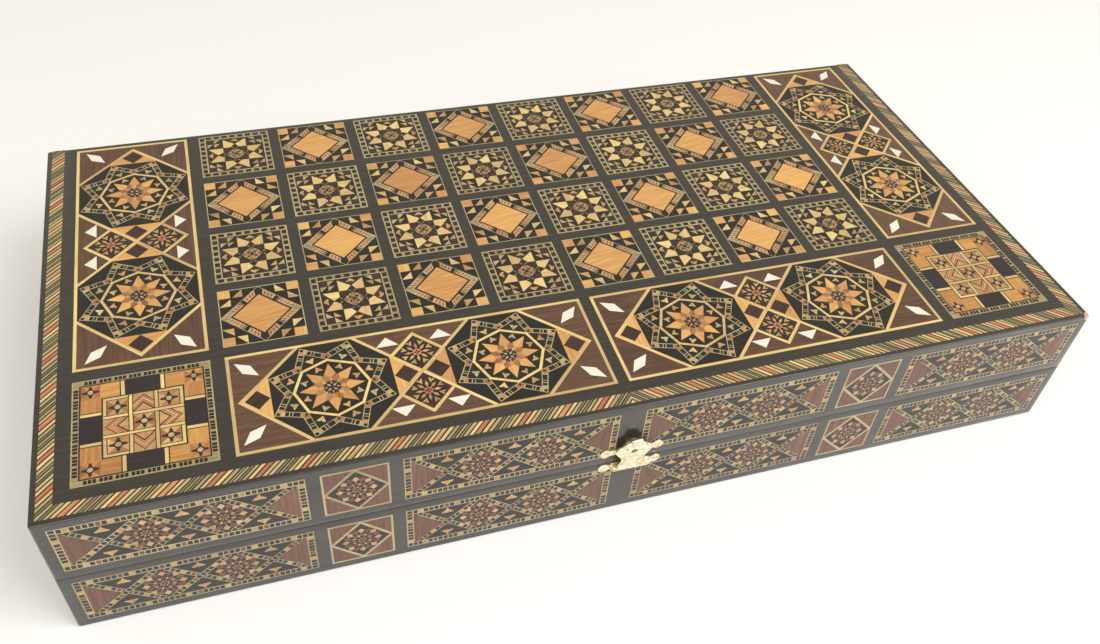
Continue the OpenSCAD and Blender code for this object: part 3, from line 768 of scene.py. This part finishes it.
def brass(name, colour, dark, relief=0.3):
    """Thin plated brass, with handling marks and dark in its small dents; its brightness is its given
    colour, which for the latch holds a painted highlight.
    """
    material, tree, shader = start_material(name)
    position = coordinates(tree, "object")
    dents = cloudy(tree, position, Scale=0.55, Detail=5.0, Roughness=0.55)
    fine = cloudy(tree, position, Scale=2.6, Detail=3.0)
    tint = mixed(tree, ranged(tree, dents, 0.38, 0.58), linear(*dark), linear(*colour))
    tree.links.new(tint, shader.inputs["Base Color"])
    shader.inputs["Metallic"].default_value = 1.0
    tree.links.new(ranged(tree, fine, 0.3, 0.7, 0.22, 0.42), shader.inputs["Roughness"])
    set_bump(tree, shader, dents, relief, 0.0008)
    return material


def bone(name, colour):
    """Old bone or ivory-like plastic with faint veins."""
    material, tree, shader = start_material(name)
    position = coordinates(tree, "object")
    vein = cloudy(tree, position, Scale=0.3, Detail=5.0, Distortion=1.0)
    dark = tuple(c * 0.86 for c in colour)
    tint = mixed(tree, ranged(tree, vein, 0.4, 0.65), linear(*colour), linear(*dark))
    tree.links.new(tint, shader.inputs["Base Color"])
    tree.links.new(ranged(tree, vein, 0.3, 0.7, 0.25, 0.4), shader.inputs["Roughness"])
    set_bump(tree, shader, vein, 0.1, 0.0005)
    return material


# Veneers as colour, darker grain colour and strength of figure.
SPECIES = {
    "apricot": ((222, 172, 106), (194, 140, 80), 0.3),
    "honey": ((206, 152, 88), (174, 120, 62), 0.3),
    "lemon": ((228, 200, 138), (196, 166, 106), 0.3),
    "cream": ((194, 178, 134), (158, 141, 100), 0.3),
    "tan": ((204, 166, 112), (166, 128, 80), 0.4),
    "walnut": ((114, 82, 62), (82, 56, 43), 0.5),
    "rosewood": ((126, 84, 67), (94, 59, 47), 0.4),
    "plum": ((68, 46, 42), (48, 31, 30), 0.4),
    "ebony": ((38, 36, 31), (22, 21, 18), 0.4),
    "indigo": ((50, 40, 44), (36, 29, 33), 0.3),
    "coral": ((204, 136, 104), (170, 102, 76), 0.3),
    "blush": ((206, 166, 122), (174, 132, 92), 0.3),
    "russet": ((140, 84, 58), (106, 58, 40), 0.3),
    "copper": ((180, 126, 80), (144, 94, 56), 0.4),
    "khaki": ((172, 158, 118), (140, 126, 90), 0.3),
    "olive": ((146, 134, 92), (110, 99, 66), 0.3),
}
MATERIALS = {name: wood_material(name, *values) for name, values in SPECIES.items()}
MATERIALS["pearl"] = mother_of_pearl("pearl")
MATERIALS["lacquer"] = black_lacquer("lacquer", (37, 33, 28))
# The latch's brass is drawn nearly white: brass colour with a painted highlight in it.
MATERIALS["brass"] = brass("brass", (255, 248, 226), (222, 200, 150))
MATERIALS["dark_brass"] = brass("dark_brass", (196, 160, 90), (120, 88, 44), 0.2)
# Woods on the frame's own solids, or turned, which have no grain of their own.
for solid_wood, solid_values in {
    "softwood": ((214, 176, 122), (180, 136, 84), 0.4),
    "field_walnut": ((104, 62, 44), (62, 35, 26), 0.6),
    "checker_walnut": ((92, 52, 36), (56, 30, 22), 0.5),
    "checker_maple": ((224, 184, 122), (186, 142, 86), 0.3),
}.items():
    MATERIALS[solid_wood] = wood_material(solid_wood, *solid_values, source="object")
MATERIALS["bone"] = bone("bone", (232, 224, 200))
MATERIALS["pip"] = bone("pip", (30, 28, 26))


# ---------------------------------------------------------------- building

def new_object(name, mesh):
    made = bpy.data.objects.new(name, mesh)
    scene.collection.objects.link(made)
    return made


def finished_mesh(mesh_edit, name):
    mesh = bpy.data.meshes.new(name)
    mesh_edit.to_mesh(mesh)
    mesh_edit.free()
    return mesh


def add_piece(piece, node_name):
    """The piece stands for its CAD node, on the node's body."""
    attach(piece, "lid" if node_name.startswith("lid_") else "base")
    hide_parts(node_name)
    return piece


def plane(origin, across, up, into):
    """Places a point of a drawing, x along across, y along up and a depth along into, in the frame."""
    origin, across, up, into = (Vector(v) for v in (origin, across, up, into))
    return lambda x, y, depth: (origin + across * x + up * y + into * depth) * MM


DRIFT_SCALE = 0.11
STEADY_EDGE = 3.0
GRAIN_SPREAD = 400


def drifted(x, y, outline, seed, amount):
    """A hand-cut drawing's point: it wanders a little, but not at the sheet's edge."""
    reach = 1e9
    for a, b in zip(outline, outline[1:] + outline[:1]):
        edge_x, edge_y = b[0] - a[0], b[1] - a[1]
        reach = min(reach, abs(edge_x * (y - a[1]) - edge_y * (x - a[0])) / math.hypot(edge_x, edge_y))
    shift = noise.noise_vector(Vector((x * DRIFT_SCALE, y * DRIFT_SCALE, seed)))
    shift *= amount * min(1.0, reach / STEADY_EDGE)
    return x + shift.x, y + shift.y


def veneer(name, sheet, place, depth, wander=0.2):
    """The sheet as a closed slab, each of its faces in the wood that lies on top there."""
    verts, triangles = sheet.divided()
    seed = random_source.uniform(0, 1000)
    offsets = [random_source.uniform(-GRAIN_SPREAD, GRAIN_SPREAD) for _ in sheet.pieces]
    woods = sorted({wood_name for wood_name, _, _ in sheet.pieces})
    moved = [drifted(v.x, v.y, sheet.outline, seed, wander) if wander else (v.x, v.y) for v in verts]
    mesh_edit = bmesh.new()
    grain_layer = mesh_edit.loops.layers.float_vector.new("grain")
    top = [mesh_edit.verts.new(place(x, y, 0.0)) for x, y in moved]
    flat = {vert: xy for vert, xy in zip(top, moved)}
    number_of = {}
    for triangle, piece in triangles:
        made = mesh_edit.faces.new([top[i] for i in triangle])
        made.material_index = woods.index(sheet.pieces[piece][0])
        number_of[made] = piece
    loose = [v for v in mesh_edit.verts if not v.link_faces]
    bmesh.ops.delete(mesh_edit, geom=loose, context="VERTS")
    rim = [edge for edge in mesh_edit.edges if len(edge.link_faces) == 1]
    below = {}
    for edge in rim:
        for vert in edge.verts:
            if vert not in below:
                below[vert] = mesh_edit.verts.new(place(*flat[vert], depth))
                flat[below[vert]] = flat[vert]
    bottom_edges = []
    for edge in rim:
        first, second = edge.verts
        inside = edge.link_faces[0]
        side = mesh_edit.faces.new((first, second, below[second], below[first]))
        side.material_index = inside.material_index
        number_of[side] = number_of[inside]
        bottom_edges.append(mesh_edit.edges.get((below[first], below[second])))
    filled = bmesh.ops.triangle_fill(mesh_edit, use_beauty=True, edges=bottom_edges)
    for element in filled["geom"]:
        if isinstance(element, bmesh.types.BMFace):
            number_of[element] = 0
    for face, piece in number_of.items():
        angle = math.radians(sheet.pieces[piece][2])
        c, s = math.cos(angle), math.sin(angle)
        for loop in face.loops:
            x, y = flat[loop.vert]
            start = offsets[piece]
            loop[grain_layer] = Vector((c * x + s * y + start, c * y - s * x + start * 0.37, start))
    bmesh.ops.recalc_face_normals(mesh_edit, faces=mesh_edit.faces)
    mesh = finished_mesh(mesh_edit, name)
    for wood_name in woods:
        mesh.materials.append(MATERIALS[wood_name])
    return new_object(name, mesh)


def solid_copy(node_name):
    """A CAD node's mesh with its points joined and its flat faces whole."""
    mesh_edit = bmesh.new()
    mesh_edit.from_mesh(frame["nodes"][node_name].data)
    bmesh.ops.remove_doubles(mesh_edit, verts=mesh_edit.verts, dist=0.000001)
    bmesh.ops.dissolve_limit(mesh_edit, angle_limit=math.radians(0.5),
                             verts=mesh_edit.verts, edges=mesh_edit.edges)
    for layer in list(mesh_edit.loops.layers.float_vector.values()):
        mesh_edit.loops.layers.float_vector.remove(layer)
    source = finished_mesh(mesh_edit, "source")
    mesh = bpy.data.meshes.new(node_name + "_solid")
    mesh.from_pydata([v.co.copy() for v in source.vertices], [], [list(p.vertices) for p in source.polygons])
    mesh.update()
    bpy.data.meshes.remove(source)
    return mesh


def applied(piece):
    """Turns a piece's modifiers into its mesh."""
    depsgraph = bpy.context.evaluated_depsgraph_get()
    mesh = bpy.data.meshes.new_from_object(piece.evaluated_get(depsgraph))
    piece.modifiers.clear()
    piece.data = mesh
    return piece


def finish_flat(piece, material_name, sharp_degrees=30):
    """One material, with smooth shading except at sharp edges."""
    piece.data.materials.clear()
    piece.data.materials.append(MATERIALS[material_name])
    piece.data.polygons.foreach_set("use_smooth", [True] * len(piece.data.polygons))
    piece.data.set_sharp_from_angle(angle=math.radians(sharp_degrees))
    return piece


CORNER_ROUND = 1.3
EDGE_ROUND = 0.6
# The trimming block stands this far off the case's faces, because faces in one plane trim badly.
CLEAR = 0.01


def envelope(low_z, high_z):
    """A half of the case as one block with softened outer edges, for trimming its walls and ground."""
    mesh_edit = bmesh.new()
    size = Vector((CASE_HIGH.x - CASE_LOW.x, BACK_Y - CASE_LOW.y, high_z - low_z)) * MM
    size += Vector((CLEAR, CLEAR, CLEAR)) * 2 * MM
    centre = Vector(((CASE_HIGH.x + CASE_LOW.x) / 2, (BACK_Y + CASE_LOW.y) / 2, (high_z + low_z) / 2)) * MM
    shape = Matrix.Translation(centre) @ Matrix.Diagonal((*size, 1.0))
    bmesh.ops.create_cube(mesh_edit, size=1.0, matrix=shape)
    for radius, segments, upright in ((CORNER_ROUND, 4, True), (EDGE_ROUND, 3, False)):
        edges = [e for e in mesh_edit.edges if (abs(e.verts[0].co.z - e.verts[1].co.z) > MM) == upright]
        bmesh.ops.bevel(mesh_edit, geom=edges, offset=radius * MM, segments=segments,
                        profile=0.5, affect="EDGES")
    block = new_object("envelope", finished_mesh(mesh_edit, "envelope"))
    block.hide_render = True
    return block


def build_shell(half, block):
    """The lacquered walls and the ground veneer, with their outer edges softened."""
    for part in ("front_wall", "back_wall", "left_wall", "right_wall", "ground_veneer"):
        node_name = f"{half}_{part}"
        piece = new_object(f"{node_name}_lacquered", solid_copy(node_name))
        trim = piece.modifiers.new("softened", "BOOLEAN")
        trim.operation = "INTERSECT"
        trim.solver = "EXACT"
        trim.object = block
        applied(piece)
        if not piece.data.polygons:
            raise RuntimeError(f"nothing is left of {node_name} after its edges were softened")
        finish_flat(piece, "lacquer")
        add_piece(piece, node_name)


def face_plane(half, centre, turn=0.0):
    """Places a drawing on the half's chessboard face, with its origin at centre, and turned."""
    c, s = math.cos(math.radians(turn)), math.sin(math.radians(turn))
    if half == "lid":
        return plane((*centre, CASE_HIGH.z), (c, s, 0), (-s, c, 0), (0, 0, -1))
    return plane((*centre, CASE_LOW.z), (c, s, 0), (-s, c, 0), (0, 0, 1))


def middle_of(low, high):
    return ((low.x + high.x) / 2, (low.y + high.y) / 2)


# A diamond square's band isn't the same after a quarter turn.
TURNS = {"star": (0, 90, 180, 270), "diamond": (0, 180)}


def build_face(half):
    """The chessboard face: squares, medallions, corner squares and rope banding."""
    drawings = {"star": star_square(SQUARE), "diamond": diamond_square(SQUARE)}
    for column in range(COLUMNS):
        for row in range(ROWS):
            odd = (column + row) % 2 == 1
            kind = "star" if odd == (half == "lid") else "diamond"
            centre = (SQUARES_LOW.x + column * PITCH + SQUARE / 2, SQUARES_LOW.y + row * PITCH + SQUARE / 2)
            turn = random_source.choice(TURNS[kind])
            piece = veneer(f"{half}_{kind}_square_{column + 1}_{row + 1}", drawings[kind],
                           face_plane(half, centre, turn), VENEER)
            add_piece(piece, f"{half}_{kind}_squares")
    low, high = box_mm(f"{half}_front_medallions")
    length, height = (high.x - low.x - SQUARE_GAP) / 2, high.y - low.y
    drawing = medallion(length, height)
    for name, x in (("left", low.x + length / 2), ("right", high.x - length / 2)):
        piece = veneer(f"{half}_front_medallion_{name}", drawing,
                       face_plane(half, (x, (low.y + high.y) / 2)), VENEER)
        add_piece(piece, f"{half}_front_medallions")
    for side in ("left", "right"):
        low, high = box_mm(f"{half}_{side}_medallion")
        place = face_plane(half, middle_of(low, high), 90)
        piece = veneer(f"{half}_{side}_medallion_inlay", drawing, place, VENEER)
        add_piece(piece, f"{half}_{side}_medallion")
    low, high = box_mm(f"{half}_corner_squares")
    size = high.y - low.y
    drawing = corner_square(size)
    for name, x in (("left", low.x + size / 2), ("right", high.x - size / 2)):
        place = face_plane(half, (x, (low.y + high.y) / 2))
        piece = veneer(f"{half}_corner_square_{name}", drawing, place, VENEER)
        add_piece(piece, f"{half}_corner_squares")
    build_rope(half)


ROPE_WIDTH = 6.25
MITRE_GAP = 0.05


def build_rope(half):
    """The rope banding along the front and both ends, mitred at the front corners."""
    low, high = box_mm(f"{half}_rope_banding")
    gap = MITRE_GAP / 2
    run = high.x - low.x
    outline = [(gap, 0), (run - gap, 0),
               (run - ROPE_WIDTH - gap, ROPE_WIDTH), (ROPE_WIDTH + gap, ROPE_WIDTH)]
    sheet = Inlay(outline, "ebony")
    for wood, stripe in rope_stripes(0.0, run / 2, ROPE_WIDTH, random_source):
        sheet.cut(wood, stripe, 45)
        sheet.cut(wood, [(run - x, y) for x, y in stripe], 135)
    strips = [("front", sheet, face_plane(half, (low.x, low.y)))]
    depth_run = high.y - low.y
    level, into = (CASE_HIGH.z, (0, 0, -1)) if half == "lid" else (CASE_LOW.z, (0, 0, 1))
    for name, side in (("left", -1), ("right", 1)):
        outline = [(gap, 0), (depth_run, 0), (depth_run, ROPE_WIDTH), (ROPE_WIDTH + gap, ROPE_WIDTH)]
        sheet = Inlay(outline, "ebony")
        for wood, stripe in rope_stripes(0.0, depth_run, ROPE_WIDTH, random_source):
            sheet.cut(wood, stripe, 45)
        corner_x = low.x if side < 0 else high.x
        strips.append((name, sheet, plane((corner_x, low.y, level), (0, 1, 0), (-side, 0, 0), into)))
    for name, sheet, place in strips:
        piece = veneer(f"{half}_rope_banding_{name}", sheet, place, VENEER, 0.0)
        add_piece(piece, f"{half}_rope_banding")


PANEL_GAP = 6.0


def build_panels(half):
    """The lattice and diamond panels set flush in the four walls."""
    low, high = box_mm(f"{half}_front_panels")
    height, middle_z = high.z - low.z, (low.z + high.z) / 2
    end_low, end_high = box_mm(f"{half}_end_panels")
    lattice_l = (end_high.y - end_low.y - height - 2 * PANEL_GAP) / 2
    lattice, diamond = lattice_panel(lattice_l, height), edge_diamond(height)
    lattice_x = lattice_l / 2
    diamond_x = lattice_l + PANEL_GAP + height / 2
    second_x = lattice_l * 1.5 + 2 * PANEL_GAP + height
    run = high.x - low.x
    long_row = [(lattice, lattice_x), (diamond, diamond_x), (lattice, second_x),
                (lattice, run - second_x), (diamond, run - diamond_x), (lattice, run - lattice_x)]
    short_row = long_row[:3]
    walls = (
        ("front", "front_panels", long_row, (low.x, CASE_LOW.y), (1, 0, 0), (0, 1, 0)),
        ("back", "back_panels", long_row, (high.x, BACK_Y), (-1, 0, 0), (0, -1, 0)),
        ("left", "end_panels", short_row, (CASE_LOW.x, end_high.y), (0, -1, 0), (1, 0, 0)),
        ("right", "end_panels", short_row, (CASE_HIGH.x, end_low.y), (0, 1, 0), (-1, 0, 0)),
    )
    for wall, node_part, row, corner, across, into in walls:
        place = plane((*corner, middle_z), across, (0, 0, 1), into)
        for i, (drawing, x) in enumerate(row):
            def shifted(px, py, depth):
                return place(px + x, py, depth)
            piece = veneer(f"{half}_{wall}_panel_{i + 1}", drawing, shifted, VENEER, 0.15)
            add_piece(piece, f"{half}_{node_part}")


def point_corners(node_name):
    """The apex and the two ends of the base of each triangle in a node of points."""
    mesh = frame["nodes"][node_name].data
    corners = sorted({(round(v.co.x / MM, 2), round(v.co.y / MM, 2)) for v in mesh.vertices})
    base_x = max(abs(x) for x, _ in corners)
    for apex in (c for c in corners if abs(c[0]) < base_x - 1):
        bases = [c for c in corners if c[0] * apex[0] > 0 and abs(c[0]) > base_x - 1]
        bases.sort(key=lambda corner: abs(corner[1] - apex[1]))
        yield apex, bases[0], bases[1]


def joined(name, pieces):
    """Pieces made of the same woods, as one object."""
    mesh_edit = bmesh.new()
    for piece in pieces:
        mesh_edit.from_mesh(piece.data)
    mesh = finished_mesh(mesh_edit, name)
    for material in pieces[0].data.materials:
        mesh.materials.append(material)
    for piece in pieces:
        bpy.data.objects.remove(piece)
    return new_object(name, mesh)


# The woods of a light and a dark point: its line, its edge, its heart and its flower's petals.
POINT_WOODS = {"light": ("plum", "lemon", "apricot", "tan"), "dark": ("lemon", "ebony", "plum", "tan")}


def build_field(half):
    """The tray's inside: walnut field, light and dark points, and the octagon."""
    for part, material_name in (("playing_field", "field_walnut"), ("board", "softwood")):
        cad = frame["nodes"][f"{half}_{part}"]
        cad.data.materials.clear()
        cad.data.materials.append(MATERIALS[material_name])
    low, high = box_mm(f"{half}_field_octagon")
    level, into = (high.z, (0, 0, -1)) if half == "base" else (low.z, (0, 0, 1))
    for kind, woods in POINT_WOODS.items():
        pieces, drawing = [], None
        for apex, first, second in point_corners(f"{half}_{kind}_points"):
            base_x = first[0]
            if drawing is None:
                drawing = field_point(abs(base_x - apex[0]), abs(first[1] - second[1]), *woods)
            inward = -math.copysign(1.0, base_x)
            place = plane((base_x, apex[1], level), (inward, 0, 0), (0, 1, 0), into)
            pieces.append(veneer("point", drawing, place, high.z - low.z, 0.0))
        inlay = joined(f"{half}_{kind}_points_inlay", pieces)
        add_piece(inlay, f"{half}_{kind}_points")
    place = plane((*middle_of(low, high), level), (1, 0, 0), (0, 1, 0), into)
    piece = veneer(f"{half}_field_octagon_inlay", field_octagon(high.x - low.x), place, high.z - low.z)
    add_piece(piece, f"{half}_field_octagon")


HARDWARE = ("base_hinge_leaf_left", "base_hinge_leaf_right", "lid_hinge_leaf_left", "lid_hinge_leaf_right",
            "hinge_pin_left", "hinge_pin_right", "base_hinge_screws", "lid_hinge_screws", "latch_base_plate",
            "latch_lid_plate", "latch_hasp", "latch_pin", "latch_base_nails", "latch_lid_nails")


def build_hardware():
    """Brass hinges and latch, with their stamped edges rounded over."""
    bodies = frame["record"]["behaviour"]["bodies"]
    for node_name in HARDWARE:
        piece = new_object(f"{node_name}_brass", solid_copy(node_name))
        soft = piece.modifiers.new("soft_edges", "BEVEL")
        soft.width = 0.12 * MM
        soft.segments = 2
        soft.limit_method = "ANGLE"
        soft.angle_limit = math.radians(35)
        applied(piece)
        finish_flat(piece, "brass" if node_name.startswith("latch") else "dark_brass")
        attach(piece, next(body for body, names in bodies.items() if node_name in names))
        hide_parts(node_name)


# The hasp's hole stands this far above its pin, and its face this far in front of the pin's middle.
HASP_HOLE_RISE = 12.5
HASP_KNUCKLE = 1.3
# Each rib of the shell around the hole: its angle and how far from the hole it reaches.
SHELL_RIBS = ((4, 8.9), (27, 8.2), (48, 6.8), (70, 6.0), (110, 6.0), (132, 6.8), (153, 8.2), (176, 8.9))


def build_latch_relief():
    """The stamped relief of the hasp: a shell of ribs around its hole, and ridges down its skirt."""
    low, high = box_mm("latch_hasp")
    pin_low, pin_high = box_mm("latch_pin")
    centre_x, pin_z = (pin_low.x + pin_high.x) / 2, (pin_low.z + pin_high.z) / 2
    face_y = pin_low.y + (pin_high.y - pin_low.y) / 2 - HASP_KNUCKLE
    mesh_edit = bmesh.new()

    def ridge(start, end, width, height):
        """A long half-sunk bead between two points, given from the hasp's hole."""
        start, end = Vector(start), Vector(end)
        run = end - start
        middle = Vector((centre_x + (start.x + end.x) / 2, face_y,
                         pin_z + HASP_HOLE_RISE + (start.y + end.y) / 2))
        across = Matrix.Rotation(-math.atan2(run.y, run.x), 4, "Y")
        shape = Matrix.Diagonal((run.length / 2, height, width / 2, 1.0))
        bmesh.ops.create_icosphere(mesh_edit, subdivisions=3, radius=1.0,
                                   matrix=Matrix.Scale(MM, 4) @ Matrix.Translation(middle) @ across @ shape)

    for angle, reach in SHELL_RIBS:
        ridge(polar(2.9, angle), polar(reach, angle), 1.5, 0.45)
    for i in range(12):
        ridge(polar(2.2, 30 * i - 9), polar(2.2, 30 * i + 9), 0.7, 0.35)
    for side in (-1, 1):
        ridge((side * 2.2, -3.2), (side * 6.2, -10.9), 1.4, 0.4)
        ridge((side * 1.0, -4.0), (side * 3.2, -10.9), 1.1, 0.35)
        ridge((side * 3.2, -1.6), (side * 7.0, -1.9), 1.1, 0.35)
    ridge((0.0, -4.2), (0.0, -10.9), 1.0, 0.35)
    mesh = finished_mesh(mesh_edit, "latch_hasp_relief")
    piece = finish_flat(new_object("latch_hasp_relief", mesh), "brass", 60)
    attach(piece, "hasp")


def checker_profile(radius, thickness):
    """The turned outline of a checker, from the middle of its lower face to the middle of its upper one."""
    rim, recess = radius - 3.0, thickness - 0.5
    groove = recess - 0.5
    return [(0, 0), (radius - 0.9, 0), (radius - 0.3, 0.25), (radius, 0.8), (radius, thickness - 0.8),
            (radius - 0.3, thickness - 0.25), (radius - 0.9, thickness), (rim + 0.5, thickness),
            (rim + 0.1, thickness - 0.2), (rim, recess), (rim - 2.8, recess), (rim - 3.1, groove),
            (rim - 3.9, groove), (rim - 4.2, recess), (rim - 8.0, recess + 0.1), (0, recess + 0.3)]


def lathe(mesh_edit, profile, centre, steps=64):
    """Turns a profile of radius and height, in millimetres, about the vertical through centre."""
    rings = []
    for radius, height in profile:
        count = steps if radius else 1
        spots = [polar(radius, i * 360 / steps, centre) for i in range(count)]
        rings.append([mesh_edit.verts.new(Vector((x, y, centre[2] + height)) * MM) for x, y in spots])
    for lower, upper in zip(rings, rings[1:]):
        for i in range(steps):
            j = (i + 1) % steps
            corners = [lower[i % len(lower)], lower[j % len(lower)],
                       upper[j % len(upper)], upper[i % len(upper)]]
            mesh_edit.faces.new(list(dict.fromkeys(corners)))


STACKS, CHECKERS_PER_STACK, CHECKER_PLAY = 5, 3, 0.05


def build_checkers(node_name, material_name):
    """Turned checkers where the frame has its plain ones."""
    low, high = box_mm(node_name)
    width = high.x - low.x
    pitch = (high.y - low.y - width) / (STACKS - 1)
    thickness = (high.z - low.z - (CHECKERS_PER_STACK - 1) * CHECKER_PLAY) / CHECKERS_PER_STACK
    profile = checker_profile(width / 2, thickness)
    mesh_edit = bmesh.new()
    for stack in range(STACKS):
        for layer in range(CHECKERS_PER_STACK):
            centre = (low.x + width / 2, low.y + width / 2 + stack * pitch,
                      low.z + layer * (thickness + CHECKER_PLAY))
            lathe(mesh_edit, profile, centre)
    bmesh.ops.recalc_face_normals(mesh_edit, faces=mesh_edit.faces)
    piece = new_object(f"{node_name}_turned", finished_mesh(mesh_edit, f"{node_name}_turned"))
    add_piece(finish_flat(piece, material_name), node_name)


PIP_DEPTH = 0.4


def build_dice():
    """The two dice, with dark pips."""
    piece = finish_flat(new_object("dice_with_pips", solid_copy("dice")), "bone")
    mesh = piece.data
    mesh.materials.append(MATERIALS["pip"])
    low, high = box_mm("dice")
    middle_x = (low.x + high.x) / 2 * MM
    for side in (-1, 1):
        faces = [p for p in mesh.polygons if (p.center.x - middle_x) * side > 0]
        points = [mesh.vertices[i].co for p in faces for i in p.vertices]
        centre = Vector([(min(p[i] for p in points) + max(p[i] for p in points)) / 2 for i in range(3)])
        half_width = (max(p.z for p in points) - min(p.z for p in points)) / 2
        for face in faces:
            if abs((face.center - centre).dot(face.normal)) < half_width - PIP_DEPTH / 2 * MM:
                face.material_index = 1
    add_piece(piece, "dice")


# ---------------------------------------------------------------- camera, light and floor

CAMERA_AT = (-0.14686, -0.38445, 0.41461)
CAMERA_AIM = (0.26031, 0.66271, -0.70218)
CAMERA_ROLL = 5.65
LENS = 32.86
SKY_COLOUR = (1.0, 0.91, 0.76, 1)
SKY_STRENGTH = 0.55
# Each lamp's name, place and power. All shine at the origin, and all stand in front of the case.
LAMPS = (("key", (1.1, -1.0, 1.7), 34), ("fill", (-1.1, -1.1, 1.7), 21))
LAMP_COLOUR = (0.97, 0.985, 1.0)
LAMP_SIZE = 1.5
FLOOR_REACH = 6.0
FLOOR_DROP = 0.0002


def build_stage():
    camera = bpy.data.objects.new("camera", bpy.data.cameras.new("camera"))
    scene.collection.objects.link(camera)
    camera.location = CAMERA_AT
    camera.rotation_mode = "QUATERNION"
    aim = Vector(CAMERA_AIM).normalized().to_track_quat("-Z", "Y")
    camera.rotation_quaternion = aim @ Quaternion((0, 0, 1), math.radians(CAMERA_ROLL))
    camera.data.sensor_width = 36
    camera.data.lens = LENS
    camera.data.clip_start = 0.01
    scene.camera = camera

    world = bpy.data.worlds.new("studio")
    scene.world = world
    world.use_nodes = True
    background = world.node_tree.nodes["Background"]
    background.inputs["Color"].default_value = SKY_COLOUR
    background.inputs["Strength"].default_value = SKY_STRENGTH

    for name, place, power in LAMPS:
        lamp = bpy.data.lights.new(name, "AREA")
        lamp.size = LAMP_SIZE
        lamp.energy = power
        lamp.color = LAMP_COLOUR
        made = bpy.data.objects.new(name, lamp)
        scene.collection.objects.link(made)
        made.location = place
        made.rotation_mode = "QUATERNION"
        made.rotation_quaternion = (-Vector(place)).to_track_quat("-Z", "Y")

    mesh_edit = bmesh.new()
    bmesh.ops.create_grid(mesh_edit, x_segments=1, y_segments=1, size=FLOOR_REACH)
    floor = new_object("floor", finished_mesh(mesh_edit, "floor"))
    material, _, shader = start_material("floor")
    shader.inputs["Base Color"].default_value = linear(244, 244, 244)
    shader.inputs["Roughness"].default_value = 0.6
    floor.data.materials.append(material)
    floor.location.z = cad_bounds[0].z - FLOOR_DROP
    scene.view_settings.view_transform = "Standard"


build_stage()
for half_name, lower_z, upper_z in (("base", CASE_LOW.z, RIM_Z), ("lid", RIM_Z, CASE_HIGH.z)):
    half_block = envelope(lower_z, upper_z)
    build_shell(half_name, half_block)
    bpy.data.objects.remove(half_block)
    build_face(half_name)
    build_panels(half_name)
    build_field(half_name)
build_hardware()
build_latch_relief()
build_checkers("dark_checkers", "checker_walnut")
build_checkers("light_checkers", "checker_maple")
build_dice()
